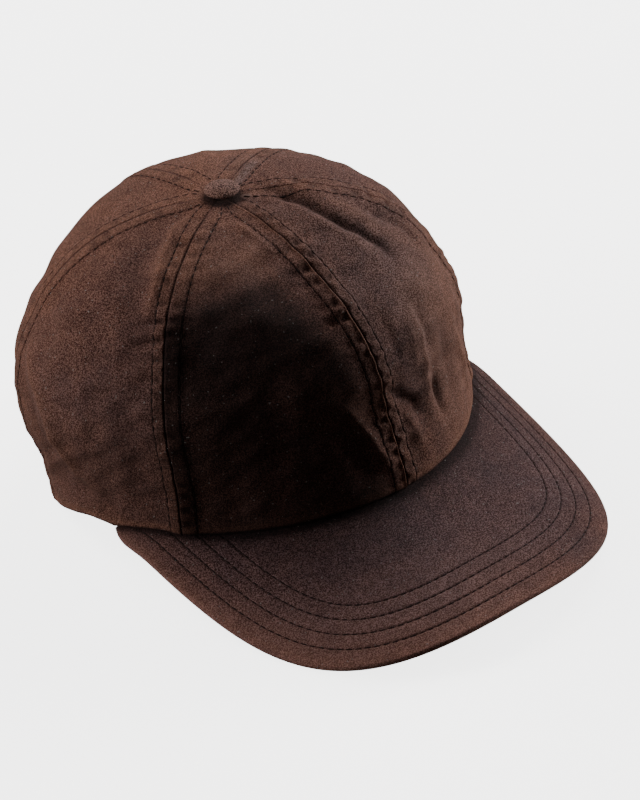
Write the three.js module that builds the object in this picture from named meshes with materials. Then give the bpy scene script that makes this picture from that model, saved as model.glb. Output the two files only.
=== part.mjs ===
// Soft six-panel cap in waxed cotton, as it lies on a level surface.
// Millimetres, +Z up. The peak points along -Y, and +X is the wearer's left.
// Angles run round the crown from the front, positive towards the wearer's left.
// Levels run down the crown from 0 at the button to 1 at the hem.
import * as THREE from 'three';

// Head opening, seen from above
const HEM_HALF_WIDTH = 96;
const HEM_FRONT_REACH = 87.5;
const HEM_BACK_REACH = 90.3;
const HEM_ROUNDNESS = 1.95;

// Crown
const CROWN_HEIGHT = 122.5;
const WALL_HEIGHT = 47.3;
const WALL_TUCK = 2.4;
const CROWN_FULLNESS = 2.43;
const CROWN_LEAN_BACK = 12.3;
const CROWN_LEAN_RIGHT = 2.5;
const CROWN_TILT_DEG = 3.2;
const TURNOVER_LEVEL = 0.75;
const SETTLE_LEVEL = 0.5;

// Seams and cloth
const FRONT_SEAM_DEG = 62.9;
const BACK_SEAM_DEG = 119.4;
const CLOTH_WALL = 1.7;
const SEAM_GAP = 0.3;
const SEAM_BAND = 7;
const SEAM_RISE = 0.6;
const SEAM_FULL_WIDTH = 21;
const FOLD_HEIGHT = 4;
const SEAM_LENGTH = 170;

// Peak, measured along its own curved surface
const PEAK_REACH = 71;
const PEAK_HALF_WIDTH = 99.7;
const PEAK_SHIFT_RIGHT = 1;
const PEAK_SIDE_LENGTH = 211;
const PEAK_FRONT_SQUARENESS = 5.96;
const PEAK_SIDE_SQUARENESS = 2.39;
const PEAK_ARCH_RADIUS = 161;
const PEAK_SLOPE_DEG = 16;
const PEAK_TIP_DEG = 84;
const PEAK_TIP_ROUND = 15;
const PEAK_TIP_DROOP = 8.2;
const PEAK_DROOP_RUN = 28;
const PEAK_TUCK = 3.2;
const PEAK_UPPER_WALL = 1.5;
const PEAK_UNDER_WALL = 1.2;
const PEAK_UNDER_INSET = 0.6;
const MOST_INSET_SHARE = 0.25;
const LAYER_GAP = 0.3;
const HEM_GAP = 0.35;

// Where the hem comes down to the surface behind the peak
const HEM_FLOOR_DEG = 131;

// Button
const BUTTON_RADIUS = 7.8;
const BUTTON_HEIGHT = 3.4;
const BUTTON_RIM = 1.2;
const SHANK_RADIUS = 2.6;
const SHANK_GAP = 0.6;
const CLINCH_RADIUS = 5.5;
const CLINCH_HEIGHT = 1;
const BUTTON_GAP = 0.4;

// Mesh steps
const PANEL_MIDDLE_COLUMNS = 6;
const PANEL_ROWS = 21;
const PEAK_COLUMNS = 36;
const PEAK_ROWS = 6;
const BUTTON_SIDES = 28;
const BUTTON_DOME_STEPS = 7;
const OUTLINE_STEPS = 160;
const PEAK_TIP_STEPS = 8;

// Girth of the slack crown at five levels: what each direction adds to or takes from the plain
// radius, as a share of it.
const GIRTH = [
  { level: 0, back: 0, backRight: 0, frontRight: 0, front: 0, frontLeft: 0, backLeft: 0 },
  { level: 0.25, back: 0.02, backRight: 0, frontRight: 0.03, front: -0.02, frontLeft: 0.02, backLeft: 0 },
  { level: 0.5, back: -0.07, backRight: 0.02, frontRight: -0.03, front: 0.02, frontLeft: -0.02, backLeft: -0.04 },
  { level: 0.75, back: 0.02, backRight: 0.08, frontRight: -0.01, front: -0.04, frontLeft: -0.05, backLeft: 0 },
  { level: 1.0, back: -0.01, backRight: -0.04, frontRight: -0.05, front: 0.01, frontLeft: -0.06, backLeft: 0.06 },
];
const GIRTH_DIRECTIONS = ['back', 'backRight', 'frontRight', 'front', 'frontLeft', 'backLeft'];

// Folds and dents: a straight run over the crown from one angle and level to another. Height is a
// share of FOLD_HEIGHT, negative for a dent, and width a share of the hem's half width.
const FOLDS = [
  { what: 'long groove', fromDeg: 57, fromLevel: 0.10, toDeg: 34, toLevel: 0.27, height: -0.9, width: 0.07 },
  { what: 'its lower end', fromDeg: 34, fromLevel: 0.27, toDeg: 28, toLevel: 0.42, height: -0.7, width: 0.08 },
  { what: 'ridge above it', fromDeg: 66, fromLevel: 0.13, toDeg: 45, toLevel: 0.33, height: 0.6, width: 0.08 },
  { what: 'ridge below it', fromDeg: 36, fromLevel: 0.09, toDeg: 22, toLevel: 0.34, height: 0.5, width: 0.08 },
  { what: 'right side ridge', fromDeg: -82, fromLevel: 0.09, toDeg: -70, toLevel: 0.36, height: 0.7, width: 0.07 },
  { what: 'dent beside it', fromDeg: -96, fromLevel: 0.15, toDeg: -80, toLevel: 0.38, height: -0.4, width: 0.10 },
  { what: 'upper pucker', fromDeg: -69, fromLevel: 0.38, toDeg: -56, toLevel: 0.37, height: -0.4, width: 0.06 },
  { what: 'lower pucker', fromDeg: -68, fromLevel: 0.44, toDeg: -55, toLevel: 0.42, height: -0.4, width: 0.06 },
  { what: 'tuck by front seam', fromDeg: -17, fromLevel: 0.75, toDeg: -7, toLevel: 0.92, height: 0.7, width: 0.06 },
  { what: 'hollow above it', fromDeg: -22, fromLevel: 0.68, toDeg: -14, toLevel: 0.92, height: -0.5, width: 0.08 },
  { what: 'left front dent', fromDeg: 14, fromLevel: 0.70, toDeg: 9, toLevel: 0.88, height: -0.6, width: 0.05 },
  { what: 'left front ridge', fromDeg: 22, fromLevel: 0.46, toDeg: 18, toLevel: 0.84, height: 0.6, width: 0.06 },
  { what: 'second dent', fromDeg: 27, fromLevel: 0.74, toDeg: 22, toLevel: 0.88, height: -0.5, width: 0.05 },
  { what: 'right rear ridge', fromDeg: -113, fromLevel: 0.62, toDeg: -93, toLevel: 0.92, height: 0.7, width: 0.08 },
  { what: 'right front hollow', fromDeg: -36, fromLevel: 0.40, toDeg: -34, toLevel: 0.75, height: -0.9, width: 0.22 },
];

// Section of the cloth beside a seam: how far away, as a share of SEAM_BAND, and how much the
// doubled cloth stands up, as a share of SEAM_RISE.
const SEAM_SECTION = [
  { away: 0.00, rise: -1.0 },
  { away: 0.17, rise: -0.3 },
  { away: 0.45, rise: 1.0 },
  { away: 1.00, rise: 0.8 },
  { away: 1.40, rise: 0.0 },
];

const PANELS = [
  { name: 'front_panel_left', fromDeg: 0, toDeg: FRONT_SEAM_DEG },
  { name: 'side_panel_left', fromDeg: FRONT_SEAM_DEG, toDeg: BACK_SEAM_DEG },
  { name: 'back_panel_left', fromDeg: BACK_SEAM_DEG, toDeg: 180 },
  { name: 'front_panel_right', fromDeg: -FRONT_SEAM_DEG, toDeg: 0 },
  { name: 'side_panel_right', fromDeg: -BACK_SEAM_DEG, toDeg: -FRONT_SEAM_DEG },
  { name: 'back_panel_right', fromDeg: -180, toDeg: -BACK_SEAM_DEG },
];

const { clamp, degToRad, smoothstep } = THREE.MathUtils;
const SLOPE = degToRad(PEAK_SLOPE_DEG);
const TIP_ANGLE = degToRad(PEAK_TIP_DEG);
const FLOOR_ANGLE = degToRad(HEM_FLOOR_DEG);
const CROWN_TILT = degToRad(CROWN_TILT_DEG);
const HOLE_RADIUS = SHANK_RADIUS + SHANK_GAP;

// Smooth curve through four neighbouring values, between the middle two
function throughValues(before, from, to, after, t) {
  const leave = (to - before) / 2;
  const arrive = (after - from) / 2;
  const bend = 3 * (to - from) - 2 * leave - arrive;
  const twist = 2 * (from - to) + leave + arrive;
  return from + t * (leave + t * (bend + t * twist));
}

// What the slack cloth adds to the plain radius, in a ring of six directions and five levels
function girthShare(angle, level) {
  const count = GIRTH_DIRECTIONS.length;
  const turn = (angle / (2 * Math.PI) + 0.5) * count;
  const sector = Math.floor(turn);
  const aroundAt = (row) => {
    const value = (k) => row[GIRTH_DIRECTIONS[(sector + k + count) % count]];
    return throughValues(value(-1), value(0), value(1), value(2), turn - sector);
  };
  const last = GIRTH.length - 1;
  const index = Math.min(last - 1, Math.floor(level * last));
  const at = (k) => aroundAt(GIRTH[clamp(index + k, 0, last)]);
  return throughValues(at(-1), at(0), at(1), at(2), level * last - index);
}

function plainHemRadius(angle) {
  const reach = Math.cos(angle) > 0 ? HEM_FRONT_REACH : HEM_BACK_REACH;
  const across = Math.abs(Math.sin(angle)) / HEM_HALF_WIDTH;
  const along = Math.abs(Math.cos(angle)) / reach;
  return (across ** HEM_ROUNDNESS + along ** HEM_ROUNDNESS) ** (-1 / HEM_ROUNDNESS);
}

// Point of the hem's outer edge seen from above
function hemPoint(angle, inset = 0) {
  const radius = plainHemRadius(angle) * (1 + girthShare(angle, 1)) - inset;
  return new THREE.Vector2(radius * Math.sin(angle), -radius * Math.cos(angle));
}

// Flat outline of the peak: across runs over the arch, out runs forward from the hem's front
function peakOutlinePoint(turn) {
  const across = Math.abs(Math.cos(turn)) ** (2 / PEAK_SIDE_SQUARENESS);
  const out = Math.abs(Math.sin(turn)) ** (2 / PEAK_FRONT_SQUARENESS);
  return new THREE.Vector2(
    -Math.sign(Math.cos(turn)) * PEAK_HALF_WIDTH * across - PEAK_SHIFT_RIGHT,
    PEAK_REACH + PEAK_SIDE_LENGTH * (out - 1),
  );
}

// How far the ends of the peak sag below its even slope, at a distance out from the hem's front
function tipDroop(out) {
  const tip = flatten(hemPoint(TIP_ANGLE)).y;
  return PEAK_TIP_DROOP * Math.max(0, (tip + PEAK_DROOP_RUN - out) / PEAK_DROOP_RUN) ** 2;
}

// The flat peak bent into its arch and tipped forward. Depth counts down from its top surface.
function bendPeak(across, out, depth, frontHeight) {
  const turn = across / PEAK_ARCH_RADIUS;
  const radius = PEAK_ARCH_RADIUS - depth;
  const fall = PEAK_ARCH_RADIUS - radius * Math.cos(turn);
  return new THREE.Vector3(
    radius * Math.sin(turn),
    -HEM_FRONT_REACH - out * Math.cos(SLOPE) + fall * Math.sin(SLOPE),
    frontHeight - out * Math.sin(SLOPE) - fall * Math.cos(SLOPE) - tipDroop(out),
  );
}

// The flat place of the peak that lies at a point seen from above
function flatten(point) {
  const turn = Math.asin(clamp(point.x / PEAK_ARCH_RADIUS, -1, 1));
  const fall = PEAK_ARCH_RADIUS * (1 - Math.cos(turn));
  const out = (-HEM_FRONT_REACH - point.y + fall * Math.sin(SLOPE)) / Math.cos(SLOPE);
  return new THREE.Vector2(turn * PEAK_ARCH_RADIUS, out);
}

// The peak's front corners lie on the surface, which sets how high its root stands
function peakRootHeight() {
  let lowest = Infinity;
  for (let i = 0; i <= OUTLINE_STEPS; i += 1) {
    const flat = peakOutlinePoint((Math.PI * (i + 0.5)) / (OUTLINE_STEPS + 1));
    if (flat.y > 0) {
      const depth = PEAK_UPPER_WALL + LAYER_GAP + PEAK_UNDER_WALL;
      lowest = Math.min(lowest, bendPeak(flat.x, flat.y, depth, 0).z);
    }
  }
  return -lowest;
}
const ROOT_HEIGHT = peakRootHeight();

function seatOnPeak(point) {
  const flat = flatten(point);
  return bendPeak(flat.x, flat.y, 0, ROOT_HEIGHT).z + HEM_GAP;
}

// Height of the hem's lower edge: on the peak in front, then falling to the surface behind it
function hemHeight(angle, point) {
  const away = Math.abs(Math.atan2(Math.sin(angle), Math.cos(angle)));
  if (away <= TIP_ANGLE) {
    return seatOnPeak(point);
  }
  const share = clamp((away - TIP_ANGLE) / (FLOOR_ANGLE - TIP_ANGLE), 0, 1);
  const left = (1 - share) ** 2;
  const start = seatOnPeak(hemPoint(Math.sign(Math.sin(angle)) * TIP_ANGLE));
  const offset = seatOnPeak(point) - seatOnPeak(hemPoint(angle));
  return left * (start * (1 + 2 * share) + offset);
}

function tiltCrown(point) {
  const y = point.y - HEM_BACK_REACH;
  const back = y * Math.cos(CROWN_TILT) + point.z * Math.sin(CROWN_TILT);
  const up = point.z * Math.cos(CROWN_TILT) - y * Math.sin(CROWN_TILT);
  return new THREE.Vector3(point.x, back + HEM_BACK_REACH, up);
}

// Radius and height of the slack crown before it leans and settles
function crownSection(angle, level) {
  const hem = plainHemRadius(angle);
  const wall = hem - WALL_TUCK;
  let radius;
  let height;
  if (level < TURNOVER_LEVEL) {
    const turn = (level / TURNOVER_LEVEL) * (Math.PI / 2);
    radius = wall * Math.sin(turn) ** (2 / CROWN_FULLNESS);
    height = WALL_HEIGHT + (CROWN_HEIGHT - WALL_HEIGHT) * Math.cos(turn) ** (2 / CROWN_FULLNESS);
  } else {
    const down = (level - TURNOVER_LEVEL) / (1 - TURNOVER_LEVEL);
    radius = wall + (hem - wall) * down ** 2;
    height = WALL_HEIGHT * (1 - down);
  }
  return { radius: radius * (1 + girthShare(angle, level)), height };
}

// The crown's outer surface without its folds
function plainCrown(angle, level) {
  const { radius, height } = crownSection(angle, level);
  const lean = (height / CROWN_HEIGHT) ** 2;
  const point = tiltCrown(new THREE.Vector3(
    radius * Math.sin(angle) - CROWN_LEAN_RIGHT * lean,
    -radius * Math.cos(angle) + CROWN_LEAN_BACK * lean,
    height,
  ));
  const hem = hemPoint(angle);
  const tilted = tiltCrown(new THREE.Vector3(hem.x, hem.y, 0));
  point.z += (hemHeight(angle, hem) - tilted.z) * smoothstep(level, SETTLE_LEVEL, 1);
  return point;
}

// How much the folds raise or sink the cloth at a place
function foldRise(angle, level) {
  const { radius } = crownSection(angle, level);
  let rise = 0;
  for (const fold of FOLDS) {
    const from = degToRad(fold.fromDeg);
    const run = new THREE.Vector2(
      (degToRad(fold.toDeg) - from) * radius,
      (fold.toLevel - fold.fromLevel) * SEAM_LENGTH,
    );
    const place = new THREE.Vector2((angle - from) * radius, (level - fold.fromLevel) * SEAM_LENGTH);
    const along = clamp(place.dot(run) / run.lengthSq(), 0, 1);
    const away = place.sub(run.multiplyScalar(along)).length();
    rise += FOLD_HEIGHT * fold.height * Math.exp(-((away / (fold.width * HEM_HALF_WIDTH)) ** 2));
  }
  return rise;
}

const STEP_ANGLE = 0.01;
const STEP_LEVEL = 0.004;

function outwardNormal(surface, angle, level) {
  const low = Math.max(level - STEP_LEVEL, 0);
  const high = Math.min(level + STEP_LEVEL, 1);
  const around = surface(angle + STEP_ANGLE, level).sub(surface(angle - STEP_ANGLE, level));
  const down = surface(angle, high).sub(surface(angle, low));
  return down.cross(around).normalize();
}

function foldedCrown(angle, level) {
  const normal = outwardNormal(plainCrown, angle, level);
  return plainCrown(angle, level).addScaledVector(normal, foldRise(angle, level));
}

// A closed wall between two grids of points, indexed by column and row
function closedWall(front, back) {
  const columns = front.length;
  const rows = front[0].length;
  const positions = [...front.flat(), ...back.flat()].flatMap((point) => point.toArray());
  const index = [];
  const frontAt = (i, j) => i * rows + j;
  const backAt = (i, j) => columns * rows + i * rows + j;
  const quad = (a, b, c, d) => index.push(a, b, c, a, c, d);
  for (let i = 0; i < columns - 1; i += 1) {
    for (let j = 0; j < rows - 1; j += 1) {
      quad(frontAt(i, j), frontAt(i, j + 1), frontAt(i + 1, j + 1), frontAt(i + 1, j));
      quad(backAt(i, j), backAt(i + 1, j), backAt(i + 1, j + 1), backAt(i, j + 1));
    }
    quad(frontAt(i, 0), frontAt(i + 1, 0), backAt(i + 1, 0), backAt(i, 0));
    quad(frontAt(i, rows - 1), backAt(i, rows - 1), backAt(i + 1, rows - 1), frontAt(i + 1, rows - 1));
  }
  for (let j = 0; j < rows - 1; j += 1) {
    quad(frontAt(0, j), backAt(0, j), backAt(0, j + 1), frontAt(0, j + 1));
    const end = columns - 1;
    quad(frontAt(end, j), frontAt(end, j + 1), backAt(end, j + 1), backAt(end, j));
  }
  const geometry = new THREE.BufferGeometry();
  geometry.setAttribute('position', new THREE.Float32BufferAttribute(positions, 3));
  geometry.setIndex(index);
  geometry.computeVertexNormals();
  return geometry;
}

// Level at which the crown's plain radius equals that of the button hole
function holeLevel(angle) {
  const share = HOLE_RADIUS / (plainHemRadius(angle) - WALL_TUCK);
  return (Math.asin(share ** (CROWN_FULLNESS / 2)) / (Math.PI / 2)) * TURNOVER_LEVEL;
}

// Columns of a panel at one level: seam bands of fixed width, and an even middle
function panelColumns(width) {
  const banded = SEAM_SECTION.length;
  const count = 2 * banded + PANEL_MIDDLE_COLUMNS - 1;
  const edge = SEAM_SECTION.map((step, k) => ({
    share: Math.min((step.away * SEAM_BAND) / width, k / count),
    rise: step.rise * SEAM_RISE * Math.min(1, width / SEAM_FULL_WIDTH),
  }));
  const inner = edge[banded - 1].share;
  const middle = [];
  for (let k = 1; k <= PANEL_MIDDLE_COLUMNS; k += 1) {
    middle.push({ share: inner + ((1 - 2 * inner) * k) / (PANEL_MIDDLE_COLUMNS + 1), rise: 0 });
  }
  const mirrored = edge.map((step) => ({ share: 1 - step.share, rise: step.rise })).reverse();
  return [...edge, ...middle, ...mirrored];
}

function panelGeometry(fromDeg, toDeg) {
  const from = degToRad(fromDeg);
  const to = degToRad(toDeg);
  const columnCount = panelColumns(1).length;
  const outside = Array.from({ length: columnCount }, () => []);
  const inside = Array.from({ length: columnCount }, () => []);
  const startLevel = holeLevel((from + to) / 2);
  for (let j = 0; j <= PANEL_ROWS; j += 1) {
    const level = startLevel + ((1 - startLevel) * j) / PANEL_ROWS;
    const { radius } = crownSection((from + to) / 2, level);
    const gapTurn = SEAM_GAP / 2 / radius;
    const span = to - from - 2 * gapTurn;
    panelColumns(span * radius).forEach(({ share, rise }, i) => {
      const angle = from + gapTurn + span * share;
      const base = foldedCrown(angle, level);
      const normal = outwardNormal(foldedCrown, angle, level);
      const outer = base.clone().addScaledVector(normal, rise);
      const inner = base.clone().addScaledVector(normal, -CLOTH_WALL);
      if (j === PANEL_ROWS) {
        outer.z = hemHeight(angle, outer);
        inner.z = hemHeight(angle, inner);
      }
      outside[i].push(outer);
      inside[i].push(inner);
    });
  }
  return closedWall(outside, inside);
}

// Evenly spaced points along the outer edge of the flat peak, from one tip to the other
function peakEdge(count) {
  const tips = [-TIP_ANGLE, TIP_ANGLE].map((angle) => flatten(hemPoint(angle)));
  const turnAway = Math.max(tips[0].y, tips[1].y) + PEAK_TIP_ROUND;
  const share = 1 + (turnAway - PEAK_REACH) / PEAK_SIDE_LENGTH;
  const startTurn = Math.asin(share ** (PEAK_FRONT_SQUARENESS / 2));
  const points = [];
  for (let i = 0; i <= OUTLINE_STEPS; i += 1) {
    points.push(peakOutlinePoint(startTurn + ((Math.PI - 2 * startTurn) * i) / OUTLINE_STEPS));
  }
  const roundEnd = (tip, side) => new THREE.QuadraticBezierCurve(
    tip, new THREE.Vector2(side.x, (tip.y + side.y) / 2), side,
  ).getPoints(PEAK_TIP_STEPS);
  const start = roundEnd(tips[0], points[0]);
  const end = roundEnd(tips[1], points[OUTLINE_STEPS]).reverse();
  return new THREE.SplineCurve([...start.slice(0, -1), ...points, ...end.slice(1)]).getSpacedPoints(count);
}

// Evenly spaced points along the peak's inner edge, tucked under the hem
function peakRootEdge(count) {
  const points = [];
  for (let i = 0; i <= OUTLINE_STEPS; i += 1) {
    points.push(flatten(hemPoint(TIP_ANGLE * ((2 * i) / OUTLINE_STEPS - 1), PEAK_TUCK)));
  }
  return new THREE.SplineCurve(points).getSpacedPoints(count);
}

function peakGeometry(depth, wall, inset) {
  const edge = peakEdge(PEAK_COLUMNS);
  const root = peakRootEdge(PEAK_COLUMNS);
  const top = [];
  const bottom = [];
  edge.forEach((outer, i) => {
    const run = outer.clone().sub(root[i]);
    const reach = run.length();
    const topColumn = [];
    const bottomColumn = [];
    for (let j = 0; j <= PEAK_ROWS; j += 1) {
      const share = (j / PEAK_ROWS) * (1 - Math.min(inset / reach, MOST_INSET_SHARE));
      const flat = root[i].clone().addScaledVector(run, share);
      topColumn.push(bendPeak(flat.x, flat.y, depth, ROOT_HEIGHT));
      bottomColumn.push(bendPeak(flat.x, flat.y, depth + wall, ROOT_HEIGHT));
    }
    top.push(topColumn);
    bottom.push(bottomColumn);
  });
  return closedWall(top, bottom);
}

// The button: a domed disc above the panels, a shank through them and a clinched back below
function buttonGeometry() {
  const under = SEAM_RISE + BUTTON_GAP;
  const inside = -CLOTH_WALL - BUTTON_GAP;
  const profile = [
    new THREE.Vector2(0, inside - CLINCH_HEIGHT),
    new THREE.Vector2(CLINCH_RADIUS, inside - CLINCH_HEIGHT),
    new THREE.Vector2(CLINCH_RADIUS, inside),
    new THREE.Vector2(SHANK_RADIUS, inside),
    new THREE.Vector2(SHANK_RADIUS, under),
    new THREE.Vector2(BUTTON_RADIUS - BUTTON_RIM / 2, under),
    new THREE.Vector2(BUTTON_RADIUS, under + BUTTON_RIM / 2),
  ];
  for (let i = 0; i <= BUTTON_DOME_STEPS; i += 1) {
    const turn = (Math.PI / 2) * (i / BUTTON_DOME_STEPS);
    const height = under + BUTTON_RIM + (BUTTON_HEIGHT - BUTTON_RIM) * Math.sin(turn);
    profile.push(new THREE.Vector2(i === BUTTON_DOME_STEPS ? 0 : BUTTON_RADIUS * Math.cos(turn), height));
  }
  return new THREE.LatheGeometry(profile, BUTTON_SIDES).rotateX(Math.PI / 2);
}

function waxedCotton(color, roughness) {
  return new THREE.MeshStandardMaterial({ color, roughness, metalness: 0 });
}

const cap = new THREE.Group();

function addPiece(name, geometry, material) {
  const mesh = new THREE.Mesh(geometry, material);
  mesh.name = name;
  cap.add(mesh);
  return mesh;
}

for (const panel of PANELS) {
  addPiece(panel.name, panelGeometry(panel.fromDeg, panel.toDeg), waxedCotton(0x48312b, 0.75));
}
addPiece('peak_upper', peakGeometry(0, PEAK_UPPER_WALL, 0), waxedCotton(0x46332f, 0.7));
addPiece(
  'peak_under',
  peakGeometry(PEAK_UPPER_WALL + LAYER_GAP, PEAK_UNDER_WALL, PEAK_UNDER_INSET),
  waxedCotton(0x3a2826, 0.75),
);
const button = addPiece('top_button', buttonGeometry(), waxedCotton(0x58403c, 0.7));
button.position.copy(plainCrown(0, 0));
button.rotation.x = -CROWN_TILT;

// The origin is the middle of the base of the whole cap
const box = new THREE.Box3().setFromObject(cap, true);
cap.position.set(-(box.min.x + box.max.x) / 2, -(box.min.y + box.max.y) / 2, -box.min.z);

const wholeCap = new THREE.Group();
wholeCap.add(cap);

export default wholeCap;
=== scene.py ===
"""A soft six-panel cap in dark brown waxed cotton, lying on a pale studio floor.

Metres, +Z up. The peak points along -Y, and +X is the wearer's left. Angles run round the crown from
its front, positive towards the wearer's left, and levels run down it from 0 at the button to 1 at the hem.
"""
import math

import bmesh
import bpy
import numpy as np
from mathutils import Matrix, Vector


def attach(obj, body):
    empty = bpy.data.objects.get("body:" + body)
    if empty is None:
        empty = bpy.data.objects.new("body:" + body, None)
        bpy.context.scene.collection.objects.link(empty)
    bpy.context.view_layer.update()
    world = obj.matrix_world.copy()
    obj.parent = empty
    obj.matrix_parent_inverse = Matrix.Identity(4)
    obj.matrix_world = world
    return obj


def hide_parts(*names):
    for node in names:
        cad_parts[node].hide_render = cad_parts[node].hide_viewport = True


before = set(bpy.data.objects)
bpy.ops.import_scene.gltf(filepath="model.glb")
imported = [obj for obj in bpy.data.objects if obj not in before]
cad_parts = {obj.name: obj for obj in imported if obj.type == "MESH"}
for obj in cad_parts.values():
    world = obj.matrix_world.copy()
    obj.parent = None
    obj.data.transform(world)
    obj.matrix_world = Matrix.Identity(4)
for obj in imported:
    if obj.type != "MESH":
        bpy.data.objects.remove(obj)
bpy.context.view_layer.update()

# Camera. The studio camera looks down at the cap from beyond the peak's right corner, from far off
# through a long lens, and leans a little to one side.
MM = 0.001
CAMERA_AZIMUTH = math.radians(-40.4)
CAMERA_ELEVATION = math.radians(35.2)
CAMERA_ROLL = math.radians(-2.2)
CAMERA_DISTANCE = 3.3
CAMERA_LENS_MM = 363.2
CAMERA_SENSOR_MM = 36.0
CAMERA_TARGET = Vector((1.3, 0.3, 50.0)) * MM
CAMERA_SLIDE = (3.5 * MM, -1.3 * MM)

camera_back = Vector((
    math.sin(CAMERA_AZIMUTH) * math.cos(CAMERA_ELEVATION),
    -math.cos(CAMERA_AZIMUTH) * math.cos(CAMERA_ELEVATION),
    math.sin(CAMERA_ELEVATION),
))
level_right = Vector((math.cos(CAMERA_AZIMUTH), math.sin(CAMERA_AZIMUTH), 0))
level_up = camera_back.cross(level_right)
camera_right = level_right * math.cos(CAMERA_ROLL) + level_up * math.sin(CAMERA_ROLL)
camera_up = level_up * math.cos(CAMERA_ROLL) - level_right * math.sin(CAMERA_ROLL)
camera_place = (CAMERA_TARGET + camera_right * CAMERA_SLIDE[0] + camera_up * CAMERA_SLIDE[1]
                + camera_back * CAMERA_DISTANCE)
bpy.ops.object.camera_add()
camera = bpy.context.object
camera.name = "studio_camera"
camera.data.lens = CAMERA_LENS_MM
camera.data.sensor_fit = "VERTICAL"
camera.data.sensor_height = CAMERA_SENSOR_MM
camera.data.clip_end = 20.0
camera.matrix_world = (
    Matrix.Translation(camera_place)
    @ Matrix((camera_right, camera_up, camera_back)).transposed().to_4x4()
)
bpy.context.scene.camera = camera

# Floor and lights. A pale sweep of paper lies under the cap. Soft boxes stand low to its right and left
# and higher behind it, and none on the camera's side, so that what faces the camera stays dark.
FLOOR_SIZE = 12.0
FLOOR_SEEN = (0.9, 0.895, 0.89, 1)
FLOOR_GLOW = 4.0
FLOOR_ROUGHNESS = 0.9
BLACK = (0, 0, 0, 1)
FLOOR_BOUNCE = (0.1, 0.098, 0.096, 1)
AIR_GLOW = 0.07
SOFTBOX_AIM = Vector((0, 0, 0.06))


def new_material(name):
    """A new material, with its nodes, the call that links them, and its shader."""
    material = bpy.data.materials.new(name)
    material.use_nodes = True
    nodes = material.node_tree.nodes
    return material, nodes, material.node_tree.links.new, nodes["Principled BSDF"]


def two_tones(nodes, link, share, first, second):
    """A colour between two others, by the share that another node gives."""
    mix = nodes.new("ShaderNodeMix")
    mix.data_type = "RGBA"
    mix.inputs[6].default_value = first
    mix.inputs[7].default_value = second
    link(share, mix.inputs[0])
    return mix.outputs[2]


bpy.ops.mesh.primitive_plane_add(size=FLOOR_SIZE)
floor = bpy.context.object
floor.name = "studio_floor"
floor_paper, nodes, link, shader = new_material("floor_paper")
seen = nodes.new("ShaderNodeLightPath").outputs["Is Camera Ray"]
link(two_tones(nodes, link, seen, FLOOR_BOUNCE, FLOOR_SEEN), shader.inputs["Base Color"])
link(two_tones(nodes, link, seen, BLACK, FLOOR_SEEN), shader.inputs["Emission Color"])
shader.inputs["Roughness"].default_value = FLOOR_ROUGHNESS
shader.inputs["Emission Strength"].default_value = FLOOR_GLOW
floor.data.materials.append(floor_paper)

world = bpy.data.worlds.new("studio_air")
bpy.context.scene.world = world
world.use_nodes = True
world.node_tree.nodes["Background"].inputs["Color"].default_value = (1, 1, 1, 1)
world.node_tree.nodes["Background"].inputs["Strength"].default_value = AIR_GLOW

SOFTBOXES = (
    {"name": "right_low_softbox", "place": (1.541, -0.272, 0.36), "size": 0.65, "watts": 32},
    {"name": "right_back_softbox", "place": (1.157, 0.615, 0.92), "size": 0.8, "watts": 17},
    {"name": "back_softbox", "place": (-0.431, 1.185, 0.985), "size": 0.9, "watts": 19},
    {"name": "left_low_softbox", "place": (-1.327, 0.829, 0.36), "size": 0.65, "watts": 17.5},
)
for softbox in SOFTBOXES:
    bpy.ops.object.light_add(type="AREA", location=softbox["place"])
    lamp = bpy.context.object
    lamp.name = softbox["name"]
    lamp.data.energy = softbox["watts"]
    lamp.data.size = softbox["size"]
    aim = SOFTBOX_AIM - lamp.location
    lamp.rotation_euler = aim.to_track_quat("-Z", "Y").to_euler()

# Upper layer of the peak. Waxed cotton pulled tight over a shaped board, bent into an arch. Its root is
# tucked under the front of the crown's hem, and its two front corners carry it on the floor.
HEM_HALF_WIDTH = 96 * MM
HEM_FRONT_REACH = 87.5 * MM
HEM_BACK_REACH = 90.3 * MM
HEM_ROUNDNESS = 1.95
PEAK_REACH = 72.8 * MM
PEAK_HALF_WIDTH = 100.8 * MM
PEAK_SHIFT_RIGHT = 1 * MM
PEAK_SIDE_LENGTH = 211 * MM
PEAK_FRONT_SQUARENESS = 5.96
PEAK_SIDE_SQUARENESS = 2.39
PEAK_ARCH_RADIUS = 161 * MM
PEAK_SLOPE = math.radians(16)
PEAK_TIP_ANGLE = math.radians(84)
PEAK_TIP_ROUND = 15 * MM
PEAK_RIGHT_TIP_NARROWING = 9 * MM
PEAK_LEFT_TIP_NARROWING = 1 * MM
PEAK_TIP_NARROWING_RUN = 17 * MM
PEAK_TIP_DROOP = 8.2 * MM
PEAK_DROOP_RUN = 28 * MM
PEAK_TUCK = 3.2 * MM
PEAK_UPPER_WALL = 1.5 * MM
PEAK_UNDER_WALL = 1.2 * MM
LAYER_GAP = 0.3 * MM
HEM_GAP = 0.35 * MM
PEAK_COLUMNS = 300
PEAK_RUN_TRIES = 121
OUTLINE_STEPS = 161
EDGE_STEPS = 600
EDGE_LINE_STEPS = 1200
TIP_STEPS = 24
ROOT_STEPS = 400
PLACES_AT_ONCE = 4000
PEAK_INNER_ROWS = 18
PEAK_PLAIN_STEPS = (2.0, 3.0, 4.2, 5.5, 6.7)
PEAK_GROOVE_STEPS = (-1.3, -0.85, -0.55, -0.33, -0.16, 0.0, 0.16, 0.33, 0.55, 0.85, 1.3, 2.3, 3.3, 4.3)
PEAK_STITCH_FIRST = 8.8 * MM
PEAK_STITCH_SPACING = 6.6 * MM
PEAK_STITCH_ROWS = 4
PEAK_GROOVE_DEPTH = 0.32 * MM
PEAK_GROOVE_WIDTH = 0.42 * MM
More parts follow.
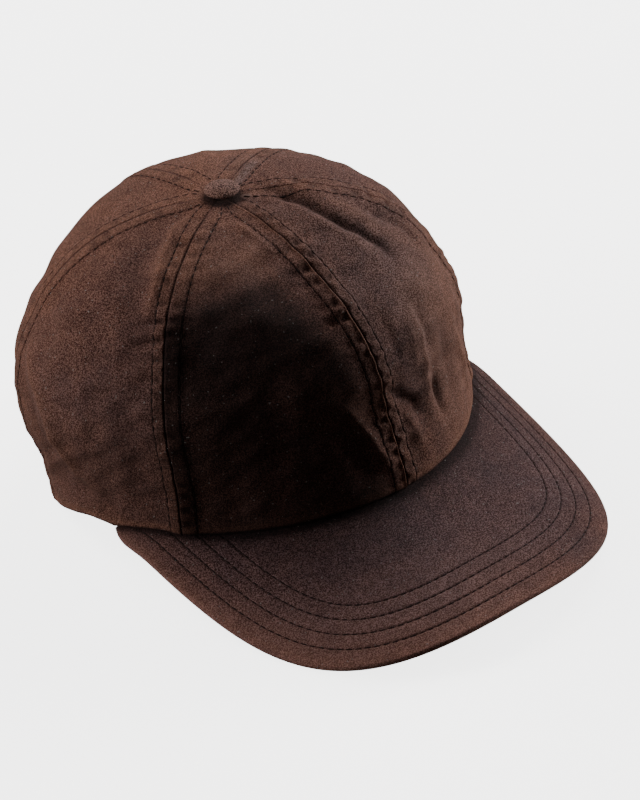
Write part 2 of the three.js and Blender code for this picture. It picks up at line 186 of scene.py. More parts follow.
SMOOTH_ANGLE = math.radians(60)

GIRTH_DIRECTIONS = ("back", "back right", "front right", "front", "front left", "back left")
GIRTH = (
    {"level": 0.00, "shares": (0.00, 0.00, 0.00, 0.00, 0.00, 0.00)},
    {"level": 0.25, "shares": (0.02, 0.00, 0.03, -0.02, 0.02, 0.00)},
    {"level": 0.50, "shares": (-0.07, 0.02, -0.03, 0.02, -0.02, -0.04)},
    {"level": 0.75, "shares": (0.02, 0.08, -0.01, -0.04, -0.05, 0.00)},
    {"level": 1.00, "shares": (-0.01, -0.04, -0.05, 0.01, -0.06, 0.06)},
)
girth_table = np.array([row["shares"] for row in GIRTH])

CROWN_CENTRE = np.array([1.273, 30.291, 0.0]) * MM


def through_values(before, start, end, after, t):
    """Smooth curve through four neighbouring values, between the middle two."""
    leave = (end - before) / 2
    arrive = (after - start) / 2
    bend = 3 * (end - start) - 2 * leave - arrive
    twist = 2 * (start - end) + leave + arrive
    return start + t * (leave + t * (bend + t * twist))


def girth_share(angle, level):
    """What the slack cloth adds to the plain radius of the crown, as a share of it."""
    count = len(GIRTH_DIRECTIONS)
    turn = (angle / (2 * math.pi) + 0.5) * count
    sector = np.floor(turn).astype(int)
    last = len(GIRTH) - 1
    index = np.minimum(last - 1, np.floor(level * last).astype(int))

    def at(k):
        row = np.clip(index + k, 0, last)
        around = [girth_table[row, (sector + step) % count] for step in (-1, 0, 1, 2)]
        return through_values(*around, turn - sector)

    return through_values(at(-1), at(0), at(1), at(2), level * last - index)


def plain_hem_radius(angle):
    reach = np.where(np.cos(angle) > 0, HEM_FRONT_REACH, HEM_BACK_REACH)
    across = np.abs(np.sin(angle)) / HEM_HALF_WIDTH
    along = np.abs(np.cos(angle)) / reach
    return (across ** HEM_ROUNDNESS + along ** HEM_ROUNDNESS) ** (-1 / HEM_ROUNDNESS)


def hem_point(angle, inset=0.0):
    """Place of the hem's outer edge seen from above."""
    radius = plain_hem_radius(angle) * (1 + girth_share(angle, np.ones_like(angle))) - inset
    return radius * np.sin(angle), -radius * np.cos(angle)


def flatten(x, y):
    """The flat place of the peak that lies at a point seen from above."""
    turn = np.arcsin(np.clip(x / PEAK_ARCH_RADIUS, -1, 1))
    fall = PEAK_ARCH_RADIUS * (1 - np.cos(turn))
    out = (-HEM_FRONT_REACH - y + fall * math.sin(PEAK_SLOPE)) / math.cos(PEAK_SLOPE)
    return turn * PEAK_ARCH_RADIUS, out


tip_out = float(flatten(*hem_point(np.array(PEAK_TIP_ANGLE)))[1])


def bend_peak(across, out, depth, front_height):
    """The flat peak bent into its arch and tipped forward. Depth counts down from its top."""
    turn = across / PEAK_ARCH_RADIUS
    radius = PEAK_ARCH_RADIUS - depth
    fall = PEAK_ARCH_RADIUS - radius * np.cos(turn)
    droop = PEAK_TIP_DROOP * np.maximum(0, (tip_out + PEAK_DROOP_RUN - out) / PEAK_DROOP_RUN) ** 2
    return np.stack([
        radius * np.sin(turn),
        -HEM_FRONT_REACH - out * math.cos(PEAK_SLOPE) + fall * math.sin(PEAK_SLOPE),
        front_height - out * math.sin(PEAK_SLOPE) - fall * math.cos(PEAK_SLOPE) - droop,
    ], axis=-1)


def peak_outline(turn):
    across = np.abs(np.cos(turn)) ** (2 / PEAK_SIDE_SQUARENESS)
    out = np.abs(np.sin(turn)) ** (2 / PEAK_FRONT_SQUARENESS)
    return np.stack([
        -np.sign(np.cos(turn)) * PEAK_HALF_WIDTH * across - PEAK_SHIFT_RIGHT,
        PEAK_REACH + PEAK_SIDE_LENGTH * (out - 1),
    ], axis=-1)


outline_turns = math.pi * (np.arange(OUTLINE_STEPS) + 0.5) / OUTLINE_STEPS
front_outline = peak_outline(outline_turns)
front_outline = front_outline[front_outline[:, 1] > 0]
peak_wall = PEAK_UPPER_WALL + LAYER_GAP + PEAK_UNDER_WALL
ROOT_HEIGHT = -bend_peak(front_outline[:, 0], front_outline[:, 1], peak_wall, 0.0)[:, 2].min()


def evenly_spaced(points, count):
    """That many points along a polyline, at equal steps of its length."""
    steps = np.linalg.norm(np.diff(points, axis=0), axis=1)
    length = np.concatenate([[0], np.cumsum(steps)])
    wanted = np.linspace(0, length[-1], count)
    return np.stack([np.interp(wanted, length, points[:, k]) for k in range(points.shape[1])], axis=-1)


def round_end(tip, side):
    """The short curve that brings the side of the peak in to its tip under the hem."""
    t = np.linspace(0, 1, TIP_STEPS)[:, None]
    corner = np.array([side[0], (tip[1] + side[1]) / 2])
    return tip * (1 - t) ** 2 + corner * 2 * t * (1 - t) + side * t ** 2


def peak_edge(count):
    """Points along the outer edge of the flat peak, from its right tip round to its left one."""
    tips = [np.array(flatten(*hem_point(np.array(side * PEAK_TIP_ANGLE)))) for side in (-1, 1)]
    turn_away = max(tips[0][1], tips[1][1]) + PEAK_TIP_ROUND
    share = 1 + (turn_away - PEAK_REACH) / PEAK_SIDE_LENGTH
    start_turn = math.asin(share ** (PEAK_FRONT_SQUARENESS / 2))
    middle = peak_outline(np.linspace(start_turn, math.pi - start_turn, EDGE_STEPS))
    near_tip = np.clip(1 - (middle[:, 1] - turn_away + PEAK_TIP_ROUND) / PEAK_TIP_NARROWING_RUN, 0, 1)
    inwards = np.where(middle[:, 0] < 0, PEAK_RIGHT_TIP_NARROWING, -PEAK_LEFT_TIP_NARROWING)
    middle[:, 0] += inwards * near_tip ** 2
    start = round_end(tips[0], middle[0])
    end = round_end(tips[1], middle[-1])[::-1]
    return evenly_spaced(np.concatenate([start[:-1], middle, end[1:]]), count)


def peak_root(count):
    """Points along the inner edge of the flat peak, tucked under the hem."""
    angles = np.linspace(-PEAK_TIP_ANGLE, PEAK_TIP_ANGLE, ROOT_STEPS)
    return evenly_spaced(np.stack(flatten(*hem_point(angles, PEAK_TUCK)), axis=-1), count)


edge_line = peak_edge(EDGE_LINE_STEPS)


def distance_to_edge(across, out):
    """How far a place of the flat peak lies from its outer edge."""
    places = np.stack([across.ravel(), out.ravel()], axis=-1)
    nearest = np.empty(len(places))
    for start in range(0, len(places), PLACES_AT_ONCE):
        part = places[start:start + PLACES_AT_ONCE, None, :] - edge_line[None, :, :]
        nearest[start:start + PLACES_AT_ONCE] = np.sqrt((part ** 2).sum(-1).min(1))
    return nearest.reshape(across.shape)


def bell(aside, width, power=2):
    """One in the middle and less to both sides. At its width it has fallen to a little over a third."""
    return np.exp(-(aside / width) ** power)


def stitch_groove(away):
    """How far the thread of each row pulls the cloth of the peak down."""
    sink = np.zeros_like(away)
    for row in range(PEAK_STITCH_ROWS):
        middle = PEAK_STITCH_FIRST + row * PEAK_STITCH_SPACING
        sink += PEAK_GROOVE_DEPTH * bell(away - middle, PEAK_GROOVE_WIDTH)
    return sink


def grid_piece(name, points, cloth_place, wear_and_painted_light, painted_shade, cool_grey):
    """A grid primitive whose vertices are carried to points[column, row], with its cloth's UV and shares."""
    columns, rows = points.shape[:2]
    bpy.ops.object.select_all(action="DESELECT")
    bpy.ops.mesh.primitive_grid_add(x_subdivisions=columns - 1, y_subdivisions=rows - 1, size=1)
    piece = bpy.context.object
    piece.name = name
    piece.data.name = name
    mesh = piece.data
    flat = np.empty(len(mesh.vertices) * 3)
    mesh.vertices.foreach_get("co", flat)
    flat = flat.reshape(-1, 3)
    column = np.rint((flat[:, 0] + 0.5) * (columns - 1)).astype(int)
    row = np.rint((flat[:, 1] + 0.5) * (rows - 1)).astype(int)
    mesh.vertices.foreach_set("co", points[column, row].ravel())
    loops = np.empty(len(mesh.loops), dtype=np.int32)
    mesh.loops.foreach_get("vertex_index", loops)
    uv = mesh.uv_layers.active or mesh.uv_layers.new(name="cloth")
    uv.name = "cloth"
    uv.data.foreach_set("uv", cloth_place[column, row][loops].ravel())
    # Shares per point: wear with painted light, painted shade, and cool grey with a painted highlight strip.
    for share_name, share in (("wear_and_painted_light", wear_and_painted_light), ("painted_shade", painted_shade), ("cool_grey", cool_grey)):
        layer = mesh.attributes.new(share_name, "FLOAT", "POINT")
        layer.data.foreach_set("value", share[column, row].astype(np.float32).ravel())
    mesh.update()
    return piece


def thicken(piece, wall):
    """Gives the sheet its wall on its inner side, and lays flat on the floor what would sink into it."""
    solid = piece.modifiers.new("wall", "SOLIDIFY")
    solid.thickness = wall
    solid.offset = -1
    solid.use_even_offset = False
    bpy.context.view_layer.objects.active = piece
    bpy.ops.object.modifier_apply(modifier="wall")
    flat = np.empty(len(piece.data.vertices) * 3)
    piece.data.vertices.foreach_get("co", flat)
    flat[2::3] = np.maximum(flat[2::3], 0)
    piece.data.vertices.foreach_set("co", flat)
    bpy.ops.object.shade_smooth_by_angle(angle=SMOOTH_ANGLE)


THREAD_PITCH = 0.45 * MM
NAP_NOISE = {"detail": 2.0, "roughness": 0.66}
HUE_NOISE = {"detail": 1.0, "roughness": 0.5}
LINT_NOISE = {"scale": 1000, "detail": 0.0, "roughness": 0.5}
WAX_NOISE = {"scale": 24, "detail": 4.0, "roughness": 0.62, "distortion": 0.7}
RUB_NOISE = {"scale": 120, "detail": 4.0, "roughness": 0.7}
NAP_RANGE = (0.425, 0.615)
HUE_SIZE = 0.77
HUE_RANGE = (0.36, 0.64)
LINT_RANGE = (0.79, 0.83)
LINT_SHARE = 0.45
RUST_RANGE = (0.42, 0.68)
RUST_SHARE = 0.4
MOTTLE_RANGE = (0.3, 0.7)
WEAR_AND_LIGHT_RANGE = (0.25, 0.7, 0.5, 1.0)
WEAR_AND_LIGHT_NAP_RANGE = (0, 1, 0.35, 1.0)
ROUGHNESS_RANGE = (0.3, 0.7, 0.75, 0.92)
WEAVE_IN_NAP = 0.18
WEAVE_HEIGHT = 0.25
RUB_HEIGHT = 0.8
NAP_WARM = (1.02, 0.995, 0.985, 1)
NAP_COOL = (0.985, 1.005, 1.015, 1)
COOL_GREY_TINT = (0.9, 1.2, 1.52, 1)
MOTTLE_DARK = (0.78, 0.78, 0.8, 1)
MOTTLE_LIGHT = (1.2, 1.18, 1.16, 1)
# Tone of the painted shade: the cloth is darkened by it where its painted shade share is high.
PAINTED_SHADE_TONE = (0.16, 0.13, 0.14, 1)
LINT = (0.30, 0.27, 0.25, 1)
NAP_BUMP_DISTANCE = 0.2 * MM
SHEEN_TINT = (0.62, 0.42, 0.32, 1)
SHEEN_ROUGHNESS = 0.5
WAXED_SPECULAR = 0.1


def cloth_grain_group():
    """Waxed cotton: nap, mottled wax, wear and painted light, bloom and painted highlight, painted shade."""
    group = bpy.data.node_groups.new("waxed_cotton", "ShaderNodeTree")
    sockets = (
        ("INPUT", "NodeSocketColor", ("Deep", "Pale", "Rust")),
        ("INPUT", "NodeSocketFloat", ("Nap size", "Wear and painted light", "Painted shade", "Cool grey")),
        ("OUTPUT", "NodeSocketColor", ("Colour",)),
        ("OUTPUT", "NodeSocketFloat", ("Roughness", "Height")),
    )
    for direction, kind, names in sockets:
        for name in names:
            group.interface.new_socket(name=name, in_out=direction, socket_type=kind)
    nodes = group.nodes
    link = group.links.new
    given = nodes.new("NodeGroupInput")
    result = nodes.new("NodeGroupOutput")
    place = nodes.new("ShaderNodeTexCoord")

    def fill(value, socket):
        if hasattr(value, "links"):
            link(value, socket)
        else:
            socket.default_value = value

    def noise(scale, detail, roughness, distortion=0.0):
        node = nodes.new("ShaderNodeTexNoise")
        fill(scale, node.inputs["Scale"])
        node.inputs["Detail"].default_value = detail
        node.inputs["Roughness"].default_value = roughness
        node.inputs["Distortion"].default_value = distortion
        link(place.outputs["Object"], node.inputs["Vector"])
        return node.outputs["Fac"]

    def ranged(value, low, high, to_low=0.0, to_high=1.0):
        node = nodes.new("ShaderNodeMapRange")
        node.inputs["From Min"].default_value = low
        node.inputs["From Max"].default_value = high
        node.inputs["To Min"].default_value = to_low
        node.inputs["To Max"].default_value = to_high
        link(value, node.inputs["Value"])
        return node.outputs["Result"]

    def mixed(share, first, second, kind="MIX"):
        node = nodes.new("ShaderNodeMix")
        node.data_type = "RGBA"
        node.blend_type = kind
        fill(share, node.inputs[0])
        fill(first, node.inputs[6])
        fill(second, node.inputs[7])
        return node.outputs[2]

    def joined(operation, first, second):
        node = nodes.new("ShaderNodeMath")
        node.operation = operation
        fill(first, node.inputs[0])
        fill(second, node.inputs[1])
        return node.outputs[0]

    def toned(colour, tint):
        return mixed(1.0, colour, tint, "MULTIPLY")

    nap_size = given.outputs["Nap size"]
    deep = given.outputs["Deep"]
    rust = given.outputs["Rust"]
    nap = ranged(noise(nap_size, **NAP_NOISE), *NAP_RANGE)
    hue = ranged(noise(joined("MULTIPLY", nap_size, HUE_SIZE), **HUE_NOISE), *HUE_RANGE)
    lint = ranged(noise(**LINT_NOISE), *LINT_RANGE)
    along = nodes.new("ShaderNodeUVMap")
    along.uv_map = "cloth"
    split = nodes.new("ShaderNodeSeparateXYZ")
    link(along.outputs["UV"], split.inputs[0])
    warp, weft = [
        joined("SINE", joined("MULTIPLY", split.outputs[axis], 2 * math.pi / THREAD_PITCH), 0.0)
        for axis in ("X", "Y")]
    weave = joined("MULTIPLY", warp, weft)
    wax = noise(**WAX_NOISE)
    rub = noise(**RUB_NOISE)
    nap = joined("ADD", nap, joined("MULTIPLY", weave, WEAVE_IN_NAP))
    tinted = toned(mixed(nap, deep, given.outputs["Pale"]), mixed(hue, NAP_WARM, NAP_COOL))
    rust_share = joined("MULTIPLY", ranged(wax, *RUST_RANGE), RUST_SHARE)
    rusted = mixed(rust_share, tinted, mixed(nap, deep, rust))
    mottled = toned(rusted, mixed(ranged(rub, *MOTTLE_RANGE), MOTTLE_DARK, MOTTLE_LIGHT))
    # Pale wear with painted light: rubbed wear, and painted light where the share puts it.
    wear_and_painted_light_share = joined("MULTIPLY", given.outputs["Wear and painted light"], ranged(rub, *WEAR_AND_LIGHT_RANGE))
    wear_and_painted_light = mixed(wear_and_painted_light_share, mottled, mixed(ranged(nap, *WEAR_AND_LIGHT_NAP_RANGE), deep, rust))
    # Cool grey: wax bloom, and a painted highlight in one strip by the left back seam.
    cool_greyed = mixed(given.outputs["Cool grey"], wear_and_painted_light, toned(wear_and_painted_light, COOL_GREY_TINT))
    # Painted shade: the colour darkened by the painted shade tone, by the share each point carries.
    painted_shade = mixed(given.outputs["Painted shade"], cool_greyed, toned(cool_greyed, PAINTED_SHADE_TONE))
    flecked = mixed(joined("MULTIPLY", lint, LINT_SHARE), painted_shade, LINT)
    relief = joined("ADD", joined("MULTIPLY", rub, RUB_HEIGHT), joined("MULTIPLY", weave, WEAVE_HEIGHT))
    link(flecked, result.inputs["Colour"])
    link(ranged(wax, *ROUGHNESS_RANGE), result.inputs["Roughness"])
    link(joined("ADD", nap, relief), result.inputs["Height"])
    return group


waxed_cotton = cloth_grain_group()


def cloth_material(name, deep, pale, rust, nap_size=1900, bump=0.9, sheen=0.03):
    """A waxed cotton of its own colours, with its nap as bump."""
    material, nodes, link, shader = new_material(name)
    grain = nodes.new("ShaderNodeGroup")
    grain.node_tree = waxed_cotton
    grain.inputs["Deep"].default_value = (*deep, 1)
    grain.inputs["Pale"].default_value = (*pale, 1)
    grain.inputs["Rust"].default_value = (*rust, 1)
    grain.inputs["Nap size"].default_value = nap_size
    # Shares per point: wear with painted light, painted shade, and cool grey with a painted highlight strip.
    for share_name, socket in (("wear_and_painted_light", "Wear and painted light"), ("painted_shade", "Painted shade"), ("cool_grey", "Cool grey")):
        share = nodes.new("ShaderNodeAttribute")
        share.attribute_name = share_name
        link(share.outputs["Fac"], grain.inputs[socket])
    link(grain.outputs["Colour"], shader.inputs["Base Color"])
    link(grain.outputs["Roughness"], shader.inputs["Roughness"])
    relief = nodes.new("ShaderNodeBump")
    relief.inputs["Strength"].default_value = bump
    relief.inputs["Distance"].default_value = NAP_BUMP_DISTANCE
    link(grain.outputs["Height"], relief.inputs["Height"])
    link(relief.outputs["Normal"], shader.inputs["Normal"])
    shader.inputs["Sheen Weight"].default_value = sheen
    shader.inputs["Sheen Roughness"].default_value = SHEEN_ROUGHNESS
    shader.inputs["Sheen Tint"].default_value = SHEEN_TINT
    shader.inputs["Specular IOR Level"].default_value = WAXED_SPECULAR
    return material


def inset_line(inset, count):
    """A line inside the flat peak, everywhere as far from its edge, from tip to tip."""
    line = peak_edge(count)
    run = np.gradient(line, axis=0)
    run /= np.linalg.norm(run, axis=1)[:, None]
    return line + np.stack([run[:, 1], -run[:, 0]], axis=-1) * inset


EDGE_ROLL = peak_wall / 2
UPPER_ROLL = np.radians(np.linspace(8, 104, 13))
UNDER_ROLL = np.radians(np.linspace(172, 109, 9))
LEAST_STEP = 0.0008
INNER_CROWDING = 1.5
PEAK_UPPER_SHEET = 1.25 * MM
PEAK_UNDER_SHEET = 1.1 * MM
# Painted shadow of the crown's hem on the peak: a dark line along the hem and a broad soft fall beyond it.
HEM_SHADE = 0.97
HEM_SHADE_FROM = 1.6 * MM
HEM_SHADE_RUN = 1.6 * MM
HEM_SHADOW = 0.42
HEM_SHADOW_RUN = 14 * MM
# Rubbed wear in a narrow band at the rim; painted light in a broad band inside it and over the peak's outer
# part, less on its left.
RIM_WEAR = 0.8
RIM_WEAR_WIDTH = 2.2 * MM
RIM_PAINTED_LIGHT = 0.45
RIM_PAINTED_LIGHT_RUN = 11 * MM
LEFT_FROM = -15 * MM
LEFT_RUN = 60 * MM
LEFT_LESS_WEAR_AND_LIGHT = 0.5
PEAK_FRONT_PAINTED_LIGHT = 0.5
FRONT_PAINTED_LIGHT_REACH = (15 * MM, 55 * MM)
# Painted shade on the peak: its left side, its stitch grooves and its turned-down front edge.
PEAK_LEFT_PAINTED_SHADE = 0.32
GROOVE_PAINTED_SHADE = 0.6
TURNED_PAINTED_SHADE = 0.3
TURNED_FROM = 0.8 * MM
PEAK_BLOOM = 0.4
PEAK_BLOOM_FROM = 3 * MM
PEAK_BLOOM_RUN = 18 * MM
PEAK_COLOURS = ((0.021, 0.006, 0.004), (0.2, 0.105, 0.098), (0.36, 0.172, 0.13))
# The under layer's colours: a darker copy of the upper layer's, painted shade for the side that faces the
# floor.
PEAK_UNDER_SHADED_COLOURS = ((0.013, 0.006, 0.0055), (0.16, 0.078, 0.066), (0.2, 0.085, 0.05))


def peak_grid():
    """Places of the flat peak from its root to its rim: lines that follow the edge, dense at each row of
    stitches, and an even spread between the last of them and the root."""
    root = peak_root(PEAK_COLUMNS)
    rim = inset_line(EDGE_ROLL, PEAK_COLUMNS)
    tries = np.linspace(0, 1, PEAK_RUN_TRIES)
    runs = rim[:, None, :] + (root - rim)[:, None, :] * tries[None, :, None]
    away = np.maximum.accumulate(distance_to_edge(runs[..., 0], runs[..., 1]), axis=1)
    steps = list(PEAK_PLAIN_STEPS)
    for row in range(PEAK_STITCH_ROWS):
        middle = (PEAK_STITCH_FIRST + row * PEAK_STITCH_SPACING) / MM
        steps += [middle + step for step in PEAK_GROOVE_STEPS]
    lines = np.array([[np.interp(step * MM, column, tries) for step in steps] for column in away])
    total = len(steps) + PEAK_INNER_ROWS
    most = 1 - (total - np.arange(len(steps))) * LEAST_STEP
    lines = np.minimum(lines, most)
    inner = np.linspace(0, 1, PEAK_INNER_ROWS + 1)[1:]
    inner = 1 - (1 - inner) ** INNER_CROWDING
    last = lines[:, -1:]
    lines = np.concatenate([np.zeros((len(lines), 1)), lines, last + (1 - last) * inner], axis=1)
    return (rim[:, None, :] + (root - rim)[:, None, :] * lines[..., None])[:, ::-1]


def smooth_step(value, low, high):
    """Nothing up to the low value, one from the high value on, and an even curve between them."""
    t = np.clip((value - low) / (high - low), 0, 1)
    return t * t * (3 - 2 * t)


def peak_sheet(name, roll, facing):
    """One layer of the peak as a grid on its outward face, with its rolled edge: up for the upper layer,
    down for the under one."""
    flat = peak_grid()
    flat_depth = np.full(flat.shape[:2], 0.0 if facing > 0 else peak_wall)
    rolled = np.stack(
        [inset_line(EDGE_ROLL * (1 - math.sin(turn)), PEAK_COLUMNS) for turn in roll], axis=1)
    rolled_depth = np.broadcast_to(EDGE_ROLL * (1 - np.cos(roll)), rolled.shape[:2])
    root = peak_root(PEAK_COLUMNS)
    flat = np.concatenate([flat, rolled], axis=1)
    depth = np.concatenate([flat_depth, rolled_depth], axis=1)
    away = distance_to_edge(flat[..., 0], flat[..., 1])
    groove = stitch_groove(away)
    points = bend_peak(flat[..., 0], flat[..., 1], depth + facing * groove, ROOT_HEIGHT) + CROWN_CENTRE
    from_hem = np.maximum(np.linalg.norm(flat - root[:, None, :], axis=-1) - PEAK_TUCK, 0)
    # Painted shadow under the hem.
    under_hem = HEM_SHADE * bell(np.maximum(from_hem - HEM_SHADE_FROM, 0), HEM_SHADE_RUN, 1)
    under_hem += HEM_SHADOW * bell(from_hem, HEM_SHADOW_RUN, 1)
    on_left = np.clip((flat[..., 0] - LEFT_FROM) / LEFT_RUN, 0, 1)
    # Rubbed wear at the rim, and painted light in a broader band inside it.
    rim = RIM_WEAR * bell(away, RIM_WEAR_WIDTH, 1.5) + RIM_PAINTED_LIGHT * bell(away, RIM_PAINTED_LIGHT_RUN, 1)
    # Painted light over the outer part of the peak, fading out towards its left.
    front = PEAK_FRONT_PAINTED_LIGHT * smooth_step(from_hem, *FRONT_PAINTED_LIGHT_REACH) * (1 - on_left)
    wear_and_painted_light = np.clip(np.clip(rim, 0, 1) * (1 - LEFT_LESS_WEAR_AND_LIGHT * on_left) + front, 0, 1)
    turned = np.clip((depth - TURNED_FROM) / MM, 0, 1) if facing > 0 else 0 * depth
    # Painted shade: under the hem, on the left side, in the stitch grooves and on the turned edge.
    painted_shade = under_hem + PEAK_LEFT_PAINTED_SHADE * on_left + GROOVE_PAINTED_SHADE * (groove / PEAK_GROOVE_DEPTH) ** 2
    painted_shade = np.clip(painted_shade + TURNED_PAINTED_SHADE * turned, 0, 1)
    cool_grey = PEAK_BLOOM * np.clip((away - PEAK_BLOOM_FROM) / PEAK_BLOOM_RUN, 0, 1)
    if facing > 0:
        points, flat, wear_and_painted_light, painted_shade, cool_grey = [part[::-1] for part in (points, flat, wear_and_painted_light, painted_shade, cool_grey)]
    return grid_piece(name, points, flat, wear_and_painted_light, painted_shade, cool_grey)


peak_upper = peak_sheet("waxed_peak_upper", UPPER_ROLL, 1)
thicken(peak_upper, PEAK_UPPER_SHEET)
peak_cloth = cloth_material("peak_cloth", *PEAK_COLOURS)
peak_upper.data.materials.append(peak_cloth)
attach(peak_upper, "root")
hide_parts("peak_upper")

# Under layer of the peak. A second piece of the same cloth that closes the peak from below. It is seamed to
# the upper layer along the lower side of the rolled edge.
peak_under = peak_sheet("waxed_peak_under", UNDER_ROLL, -1)
thicken(peak_under, PEAK_UNDER_SHEET)
# Painted shade: the same cloth in darker colours.
peak_under_cloth = cloth_material("peak_under_cloth", *PEAK_UNDER_SHADED_COLOURS)
peak_under.data.materials.append(peak_under_cloth)
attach(peak_under, "root")
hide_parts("peak_under")

# Stitching of the peak. Four parallel rows of dark waxed thread go through both layers and the board. Each
# stitch lies in the groove that it pulls into the cloth, and shows above and below.
THREAD_RADIUS = 0.29 * MM
STITCH_PITCH = 3.8 * MM
STITCH_LENGTH = 3.0 * MM
STITCH_CUTS = (-0.32, 0.0, 0.32)
STITCH_NARROWING = 0.55
STITCH_DIVE = 1.6
STITCH_LIFT = 0.5
STITCH_FLATNESS = 0.8
THREAD_COLOUR = (0.006, 0.0035, 0.003, 1)
THREAD_COLOUR_PALE = (0.024, 0.013, 0.011, 1)
THREAD_ROUGHNESS = 0.8
FIBRE_SCALE = 2500
FIBRE_BUMP = 0.4
FIBRE_BUMP_DISTANCE = 0.05 * MM
ROW_STEPS = 900
ROW_PAST_HEM_UPPER = 0.6 * MM
ROW_PAST_HEM_UNDER = -1 * MM


def stitch_shape():
    """One stitch along X: a short thread, flattened, whose ends dive into the cloth. Its length is 1."""
    bpy.ops.object.select_all(action="DESELECT")
    bpy.ops.mesh.primitive_cylinder_add(vertices=6, radius=1, depth=1, rotation=(0, math.pi / 2, 0))
    bpy.ops.object.transform_apply(location=False, rotation=True, scale=False)
    bpy.ops.object.mode_set(mode="EDIT")
    for cut in STITCH_CUTS:
        bpy.ops.mesh.select_all(action="SELECT")
        bpy.ops.mesh.bisect(plane_co=(cut, 0, 0), plane_no=(1, 0, 0))
    bpy.ops.object.mode_set(mode="OBJECT")
    shape = bpy.context.object
    for vertex in shape.data.vertices:
        towards_end = abs(vertex.co.x) * 2
        narrow = 1 - STITCH_NARROWING * towards_end ** 3
        vertex.co.y *= narrow
        vertex.co.z = vertex.co.z * narrow - STITCH_DIVE * towards_end ** 4
    points = np.array([vertex.co[:] for vertex in shape.data.vertices])
    faces = [list(face.vertices) for face in shape.data.polygons]
    bpy.data.objects.remove(shape)
    return points, faces


stitch_points, stitch_faces = stitch_shape()


def sew(name, runs):
    """Joins stitches into one piece. A run is a line of surface points and the normals there."""
    points = []
    faces = []
    for line, normals in runs:
        steps = np.linalg.norm(np.diff(line, axis=0), axis=1)
        length = np.concatenate([[0], np.cumsum(steps)])
        for middle in np.arange(STITCH_PITCH / 2, length[-1] - STITCH_PITCH / 2, STITCH_PITCH):
            ends = [np.array([np.interp(middle + shift, length, line[:, k]) for k in range(3)])
                    for shift in (-STITCH_LENGTH / 2, STITCH_LENGTH / 2)]
            normal = np.array([np.interp(middle, length, normals[:, k]) for k in range(3)])
            along = ends[1] - ends[0]
            along /= np.linalg.norm(along)
            normal -= along * normal.dot(along)
            normal /= np.linalg.norm(normal)
            side = np.cross(normal, along)
            base = len(points)
            centre = (ends[0] + ends[1]) / 2 + normal * THREAD_RADIUS * STITCH_LIFT
            for x, y, z in stitch_points:
                points.append(centre + along * x * STITCH_LENGTH + side * y * THREAD_RADIUS
                              + normal * z * THREAD_RADIUS * STITCH_FLATNESS)
            faces.extend([[base + k for k in face] for face in stitch_faces])
    mesh = bpy.data.meshes.new(name)
    mesh.from_pydata([tuple(point) for point in points], [], faces)
    mesh.update()
    piece = bpy.data.objects.new(name, mesh)
    bpy.context.scene.collection.objects.link(piece)
    mesh.polygons.foreach_set("use_smooth", [True] * len(mesh.polygons))
    mesh.materials.append(waxed_thread)
    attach(piece, "root")
    return piece


def fine_noise(nodes, link, scale, detail):
    """Fine noise through the piece, as a share."""
    place = nodes.new("ShaderNodeTexCoord")
    noise = nodes.new("ShaderNodeTexNoise")
    noise.inputs["Scale"].default_value = scale
    noise.inputs["Detail"].default_value = detail
    link(place.outputs["Object"], noise.inputs["Vector"])
    return noise.outputs["Fac"]


def thread_material():
    """Dark waxed thread with the twist of its strands as a fine bump."""
    material, nodes, link, shader = new_material("waxed_thread")
    fibre = fine_noise(nodes, link, FIBRE_SCALE, 2)
    link(two_tones(nodes, link, fibre, THREAD_COLOUR, THREAD_COLOUR_PALE), shader.inputs["Base Color"])
    relief = nodes.new("ShaderNodeBump")
    relief.inputs["Strength"].default_value = FIBRE_BUMP
    relief.inputs["Distance"].default_value = FIBRE_BUMP_DISTANCE
    link(fibre, relief.inputs["Height"])
    link(relief.outputs["Normal"], shader.inputs["Normal"])
    shader.inputs["Roughness"].default_value = THREAD_ROUGHNESS
    shader.inputs["Specular IOR Level"].default_value = WAXED_SPECULAR
    return material


waxed_thread = thread_material()


def peak_row(inset, depth, facing):
    """One row of the peak's stitching as a bent line and its normals, cut where it meets the hem."""
    flat = inset_line(inset, ROW_STEPS)
    sunk = depth + facing * PEAK_GROOVE_DEPTH
    bent = bend_peak(flat[:, 0], flat[:, 1], sunk, ROOT_HEIGHT)
    hem_x, hem_y = hem_point(np.arctan2(bent[:, 0], -bent[:, 1]))
    past_hem = ROW_PAST_HEM_UPPER if facing > 0 else ROW_PAST_HEM_UNDER
    outside = np.hypot(bent[:, 0], bent[:, 1]) > np.hypot(hem_x, hem_y) + past_hem
    flat = flat[outside]
    bent = bent[outside]
    above = bend_peak(flat[:, 0], flat[:, 1], sunk - facing * MM, ROOT_HEIGHT)
    normals = above - bent
    return bent + CROWN_CENTRE, normals / np.linalg.norm(normals, axis=1)[:, None]


row_insets = [PEAK_STITCH_FIRST + row * PEAK_STITCH_SPACING for row in range(PEAK_STITCH_ROWS)]
sew("peak_stitching_upper", [peak_row(inset, 0.0, 1) for inset in row_insets])
sew("peak_stitching_under", [peak_row(inset, peak_wall, -1) for inset in row_insets])

